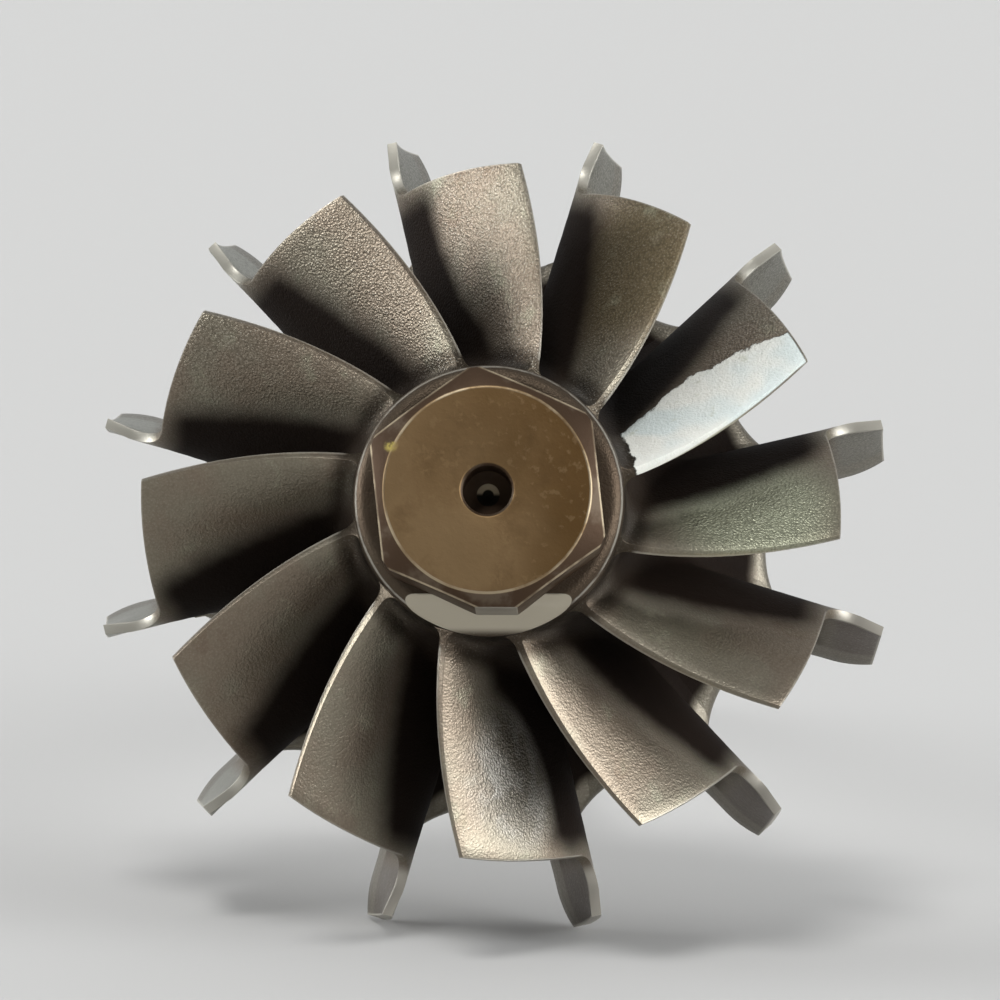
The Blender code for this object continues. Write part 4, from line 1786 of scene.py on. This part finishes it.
@dataclass
class Blades:
    """Twelve cast blades with fillets at their roots and rounded free edges."""

    lie: WheelLie
    form: BladeForm = BladeForm()
    scallops: Scallops = Scallops()
    cut: BalanceCut = BalanceCut()
    count: int = BLADE_COUNT
    first: float = math.pi / BLADE_COUNT
    marked: int = 2
    outlet_columns: int = 20
    round_columns: int = 8
    land_columns: int = 10
    rows: int = 16
    sink: float = 0.3 * MM
    fillet_shares: tuple[float, ...] = (0, 0.06, 0.16, 0.32, 0.54, 0.78, 1)
    outlet_fillet: float = 1.0 * MM
    inlet_fillet: float = 2.0 * MM
    least_fillet: float = 0.15 * MM
    outlet_reach: float = 1.2 * MM
    settle: float = 6.0 * MM
    edge_round: float = 0.09 * MM

    def tips(self) -> list[Point]:
        """Free edge of the blade: outlet radius, step up to the inlet, tip land.

        Returns:
            Station and radius of each point.
        """
        form = self.form
        size = form.shroud_round
        step = form.inlet_front - size
        ahead, last = step - form.outlet_tip, self.outlet_columns
        outlet = [(form.outlet_tip + ahead * i / last, form.outlet_radius) for i in range(last)]
        rounded = [
            (step + size * run, form.outlet_radius + size * rise)
            for run, rise in quarter_turn(self.round_columns)
        ]
        shares = [i / (self.land_columns - 1) for i in range(self.land_columns)]
        width = form.inlet_rear - form.inlet_front
        land = [(form.inlet_front + width * share, form.inlet_radius) for share in shares]
        return outlet + rounded + land

    def roots(self, count: int) -> list[Point]:
        """Root of the blade, along the hub and to the back of the disc.

        Args:
            count: How many points it has.

        Returns:
            Station and radius of each point.
        """
        hub = self.form.hub
        start = hub.turn_at(self.form.outlet_root)
        end = hub.turn_at_radius(hub.disc_radius)
        last = count - 2
        along = [hub.point(start + (end - start) * i / last) for i in range(last + 1)]
        return along + [(hub.disc_back, hub.disc_radius)]

    def fillet_at(self, root: Point) -> float:
        """Radius of the fillet at a point of the root, kept within the scalloped rim.

        Args:
            root: Station and radius of the point.

        Returns:
            The radius.
        """
        form = self.form
        run = share_of(root[0], form.outlet_root, form.inlet_front)
        fillet = self.outlet_fillet + (self.inlet_fillet - self.outlet_fillet) * run
        room = self.scallops.land_at(root[1]) - form.thickness(*root) / 2 - self.least_fillet
        return max(self.least_fillet, min(fillet, room))

    def distances(self, length: float, fillet: float) -> list[float]:
        """Distances from the root at which the rows of a column lie.

        Args:
            length: Length of the column, from root to tip.
            fillet: Radius of the fillet at its root.

        Returns:
            The distances, the first one sunk in the hub.
        """
        near = [-self.sink] + [fillet * share for share in self.fillet_shares]
        rest = [fillet + (length - fillet) * i / self.rows for i in range(1, self.rows + 1)]
        return near + rest

    def point(
        self, station: float, radius: float, side: Side, lift: float, fillet: float
    ) -> Vector:
        """Point on one face of the blade.

        Args:
            station: Station on the middle surface.
            radius: Radius there.
            side: Which face.
            lift: Distance from the root along the blade.
            fillet: Radius of the fillet at the root.

        Returns:
            The point, in the wheel's own frame, for a blade whose rear edge is at angle 0.
        """
        form, hub = self.form, self.form.hub
        half = form.thickness(station, radius) / 2
        above = max(0.0, min(lift, fillet))
        half += fillet - math.sqrt(fillet**2 - (fillet - above) ** 2)
        slope = radius * form.slope(station)
        across = side.value * half * math.hypot(1, slope)
        angle = form.angle(station)
        if station < form.inlet_front:
            across = side.value * half / math.hypot(1, slope)
            moved = station - side.value * half * slope / math.hypot(1, slope)
            moved = max(moved, form.outlet_root - self.outlet_reach)
            rise = hub.radius_at(moved) - hub.radius_at(station)
            radius += rise * (1 - share_of(lift, 0, self.settle))
            station = moved
        angle += (across + form.sweep(station, radius)) / radius
        return Vector((radius * math.cos(angle), station, radius * math.sin(angle)))

    def loft(self) -> Object:
        """Model one blade.

        A grid is extruded to a slab in edit mode. Its points are then laid between the blade's
        unlike outlines in code, because no operator lofts one into the other.

        Returns:
            The blade, with its rear edge at angle 0.
        """
        tips = self.tips()
        roots = self.roots(len(tips))
        last_column, last_row = len(tips) - 1, len(self.fillet_shares) + self.rows
        blade = add_grid("cast_blade", last_column, last_row)
        begin_edit(blade)
        extrude(0, 0, 1)
        end_edit()
        for vertex in blade.data.vertices:
            column, row = grid_step(vertex.co.x, last_column), grid_step(vertex.co.y, last_row)
            side = Side.COUNTER_CLOCKWISE if vertex.co.z > 0.5 else Side.CLOCKWISE
            root, tip = roots[column], tips[column]
            length = math.dist(root, tip)
            fillet = self.fillet_at(root)
            lift = self.distances(length, fillet)[row]
            station = root[0] + (tip[0] - root[0]) * lift / length
            radius = root[1] + (tip[1] - root[1]) * lift / length
            vertex.co = self.point(station, radius, side, lift, fillet)
        clean_mesh(blade)
        round_edges(blade, self.edge_round, angle=50)
        return blade

    def build(self, cast: Material, marked: Material) -> None:
        """Model the blades and dress them.

        Args:
            cast: Finish of a bare blade.
            marked: Finish of the blade with the paint mark.
        """
        model = self.loft()
        shade(model, angle=40)
        for number in range(1, self.count + 1):
            blade = model
            if number < self.count:
                blade = model.copy()
                blade.data = model.data.copy()
                bpy.context.scene.collection.objects.link(blade)
            blade.name = f"cast_blade_{number:02d}"
            angle = self.first + 2 * math.pi * (number - 1) / self.count
            blade.data.transform(Matrix.Rotation(-angle, 4, "Y"))
            self.cut.sink_root(blade)
            material = marked if number == self.marked else cast
            place(blade, self.lie, material, Slot.CAST, f"blade_{number:02d}")


@dataclass
class SealBoss:
    """Boss behind the disc with the seal ring's groove, and the ring in it."""

    lie: WheelLie
    form: ShaftForm = ShaftForm()
    hub: HubForm = HubForm()
    chamfer: float = 0.5 * MM
    collar_gap: float = 0.05 * MM
    boss_round: float = 0.12 * MM
    ring_round: float = 0.07 * MM
    cutter_side: float = 6.0 * MM

    def boss(self, material: Material) -> Object:
        """Model the boss and dress it.

        Args:
            material: Its finish.

        Returns:
            The boss.
        """
        form = self.form
        start = self.hub.back_at(form.boss_radius + form.boss_fillet) + form.boss_fillet
        groove_end = form.groove_start + form.groove_width
        pocket = form.weld_start + self.collar_gap
        outline = [
            (start, 0),
            (start, form.boss_radius),
            (form.groove_start, form.boss_radius),
            (form.groove_start, form.groove_radius),
            (groove_end, form.groove_radius),
            (groove_end, form.boss_radius),
            (form.boss_end - self.chamfer, form.boss_radius),
            (form.boss_end, form.boss_radius - self.chamfer),
            (form.boss_end, form.weld_radius),
            (pocket, form.weld_radius),
            (pocket, 0),
        ]
        boss = turn_outline("turned_boss", outline)
        round_edges(boss, self.boss_round)
        shade(boss)
        place(boss, self.lie, material, Slot.CAST, "seal_boss")
        return boss

    def ring(self, material: Material) -> Object:
        """Model the split ring and dress it.

        Args:
            material: Its finish.

        Returns:
            The ring.
        """
        form = self.form
        start = form.groove_start + (form.groove_width - form.ring_width) / 2
        end = start + form.ring_width
        outline = [
            (start, form.ring_inside),
            (start, form.ring_radius),
            (end, form.ring_radius),
            (end, form.ring_inside),
        ]
        ring = turn_outline("split_ring", outline, closed=True)
        cutter = add_primitive("ring_cutter", bpy.ops.mesh.primitive_cube_add, size=1)
        middle = (form.ring_radius + form.ring_inside) / 2
        size = Matrix.Diagonal((self.cutter_side, self.cutter_side, form.ring_opening, 1))
        put = Matrix.Translation((middle, (start + end) / 2, 0))
        cutter.data.transform(Matrix.Rotation(-form.ring_split, 4, "Y") @ put @ size)
        combine(ring, cutter, Join.CUT)
        round_edges(ring, self.ring_round)
        shade(ring)
        place(ring, self.lie, material, Slot.RING, "seal_ring")
        return ring


@dataclass
class Shaft:
    """Steel shaft: two bearing journals, the far wheel's seat and a real thread."""

    lie: WheelLie
    form: ShaftForm = ShaftForm()
    collar_gap: float = 0.02 * MM
    neck_past: float = 0.3 * MM
    edge_round: float = 0.2 * MM
    thread_sides: int = 72
    rows_to_pitch: int = 12
    crest: float = 0.12
    valley: float = 0.86
    lead_slope: float = 1.2

    def turned(self, material: Material) -> Object:
        """Model the plain part of the shaft, up to the thread's neck.

        Args:
            material: Its finish.

        Returns:
            The plain part.
        """
        form = self.form
        collar_radius = form.weld_radius - self.collar_gap
        end = form.thread_start + self.neck_past
        outline = [
            (form.weld_start, 0),
            (form.weld_start, collar_radius),
            (form.weld_end, collar_radius),
            (form.journal_start, form.journal_radius),
            (form.journal_end, form.journal_radius),
            (form.journal_end + form.relief_step, form.relief_radius),
            (form.far_journal_start - form.relief_step, form.relief_radius),
            (form.far_journal_start, form.journal_radius),
            (form.far_journal_end, form.journal_radius),
            (form.far_journal_end, form.seat_radius),
            (form.thread_neck, form.seat_radius),
            (form.thread_neck, form.thread_neck_radius),
            (end, form.thread_neck_radius),
            (end, 0),
        ]
        shaft = turn_outline("ground_shaft", outline)
        round_edges(shaft, self.edge_round, segments=3, angle=20)
        shade(shaft)
        place(shaft, self.lie, material, Slot.STEEL, "shaft")
        return shaft

    def thread_radius_at(self, station: float, angle: float) -> float:
        """Radius of the threaded end.

        Args:
            station: Station of the point.
            angle: Its angle about the axis.

        Returns:
            The radius there.
        """
        form = self.form
        along = station - form.thread_start
        phase = (along / form.thread_pitch - angle / (2 * math.pi)) % 1
        ridge = share_of(abs(phase - 0.5) * 2, self.crest, self.valley)
        radius = form.thread_radius - form.thread_depth * ridge
        lead_in = form.thread_neck_radius + max(0.0, along) * self.lead_slope
        chamfer = form.thread_radius - form.end_chamfer + max(0.0, form.end - station)
        return min(radius, lead_in, chamfer)

    @property
    def thread_rows(self) -> int:
        """Steps along the thread."""
        form = self.form
        return round((form.end - form.thread_start) / form.thread_pitch * self.rows_to_pitch)

    def thread_point(self, side: int, row: int) -> Point:
        """Point of the threaded end: its start's middle, its flanks or its drilled centre.

        Args:
            side: Step round the axis.
            row: Step along the outline.

        Returns:
            Station and radius of the point.
        """
        form, rows = self.form, self.thread_rows
        if row == 0:
            return form.thread_start, 0.0
        if row == rows + 2:
            return form.end, form.end_centre_radius
        if row == rows + 3:
            return form.end - form.end_centre_depth, 0.0
        station = form.thread_start + (form.end - form.thread_start) * (row - 1) / rows
        return station, self.thread_radius_at(station, 2 * math.pi * side / self.thread_sides)

    def threaded(self, material: Material) -> Object:
        """Model the threaded end, with the centre drilled in its face.

        A grid is wrapped round the axis in code, with its points on the helical flanks.

        Args:
            material: Its finish.

        Returns:
            The threaded end.
        """
        thread = wrap_grid(
            "shaft_thread", self.thread_sides, self.thread_rows + 3, self.thread_point
        )
        shade(thread, angle=35)
        place(thread, self.lie, material, Slot.STEEL)
        return thread


# ---------------------------------------------------------------- stage


@dataclass(frozen=True)
class Panel:
    """Soft patch of light in the surroundings, by its direction and half widths in degrees."""

    azimuth: float
    elevation: float
    inner: float
    outer: float
    light: float


@dataclass
class Studio:
    """Pale table, soft light and the camera."""

    lie: WheelLie
    ambient: float = 0.46
    panels: tuple[Panel, ...] = (
        Panel(180, 5, 40, 78, 0.7),
        Panel(0, 22, 20, 42, 0.12),
        Panel(-80, 4, 14, 36, 3.0),
        Panel(-91, 9, 6, 20, 13.0),
        Panel(68, 0, 18, 38, 8.8),
    )
    air: Colour = (0.97, 0.985, 1.0)
    sun_place: tuple[float, float] = (-14, 58)
    sun_power: float = 1.45
    sun_angle: float = math.radians(18)
    floor_size: float = 9.0
    yaw: float = math.radians(1.04)
    tilt: float = math.radians(6.7)
    roll: float = math.radians(2.3)
    distance: float = 0.6
    farthest: float = 50.0
    focal_pixels: float = 7212.0
    image_pixels: float = 1000.0
    nose_pixel: tuple[float, float] = (487.2, 489.5)
    sensor: float = 36.0

    def floor(self, material: Material) -> None:
        """Lay the table.

        Args:
            material: Its finish.
        """
        floor = add_primitive("table", bpy.ops.mesh.primitive_plane_add, size=self.floor_size)
        floor.data.materials.append(material)

    @staticmethod
    def toward(azimuth: float, elevation: float) -> tuple[float, float, float]:
        """Direction from the wheel.

        Args:
            azimuth: Degrees to the right of the camera's side.
            elevation: Degrees above the table.

        Returns:
            The direction.
        """
        turn, rise = math.radians(azimuth), math.radians(elevation)
        flat = math.cos(rise)
        return math.sin(turn) * flat, -math.cos(turn) * flat, math.sin(rise)

    def surroundings(self) -> None:
        """Set a plain room: pale panels at both sides, a dim ceiling and a dark front."""
        world = bpy.data.worlds.new("surroundings")
        graph = Graph(world)
        direction = graph.node("ShaderNodeTexCoord").socket("Generated")
        light: Value | float = self.ambient
        for panel in self.panels:
            across = graph.dot(direction, self.toward(panel.azimuth, panel.elevation))
            edges = (math.cos(math.radians(half)) for half in (panel.outer, panel.inner))
            light = light + across.step(*edges) * (panel.light - light)
        inputs = {"Color": self.air, "Strength": light}
        background = graph.node("ShaderNodeBackground", {}, inputs).socket()
        graph.node("ShaderNodeOutputWorld", {}, {"Surface": background})
        bpy.context.scene.world = world

    def lights(self) -> None:
        """Hang the overhead light, and set the surroundings."""
        data = bpy.data.lights.new("overhead", "SUN")
        data.energy = self.sun_power
        data.angle = self.sun_angle
        light = bpy.data.objects.new("overhead", data)
        bpy.context.scene.collection.objects.link(light)
        down = -Vector(self.toward(*self.sun_place))
        light.rotation_euler = down.to_track_quat("-Z", "Y").to_euler()
        self.surroundings()
        bpy.context.scene.view_settings.view_transform = "Standard"

    def camera(self) -> None:
        """Set the camera up as the photograph was taken."""
        turn = (
            Matrix.Rotation(-self.yaw, 4, "Y")
            @ Matrix.Rotation(-self.tilt, 4, "X")
            @ Matrix.Rotation(-self.roll, 4, "Z")
        )
        look_along_y = Matrix.Rotation(math.radians(-90), 4, "X")
        level = Matrix.Rotation(self.lie.slant, 4, "X")
        to_camera = turn @ look_along_y @ level
        from_camera = to_camera.to_3x3().transposed()
        across = (self.nose_pixel[0] - self.image_pixels / 2) / self.focal_pixels
        up = -(self.nose_pixel[1] - self.image_pixels / 2) / self.focal_pixels
        nose_seen = Vector((across * self.distance, up * self.distance, -self.distance))
        data = bpy.data.cameras.new("photo_camera")
        data.sensor_width = self.sensor
        data.lens = self.focal_pixels * self.sensor / self.image_pixels
        data.clip_end = self.farthest
        camera = bpy.data.objects.new("photo_camera", data)
        bpy.context.scene.collection.objects.link(camera)
        spot = Matrix.Translation(self.lie.nose - from_camera @ nose_seen)
        camera.matrix_world = spot @ from_camera.to_4x4()
        bpy.context.scene.camera = camera


def main() -> None:
    """Build the wheel and its studio."""
    logging.basicConfig(level=logging.INFO, format="%(message)s")
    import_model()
    lie = WheelLie()
    cast = CastFinish().build(lie)
    steel = GroundSteelFinish().build(lie)
    studio = Studio(lie)
    studio.camera()
    studio.floor(FloorFinish().build())
    studio.lights()
    HexNose(lie).build(NoseFinish().build(lie))
    ScallopedHub(lie).build(cast)
    Blades(lie).build(cast, PaintedCastFinish().build(lie))
    boss = SealBoss(lie)
    boss.boss(TurnedCastFinish().build(lie))
    boss.ring(RingFinish().build())
    shaft = Shaft(lie)
    shaft.turned(steel)
    shaft.threaded(steel)


if __name__ == "__main__":
    main()
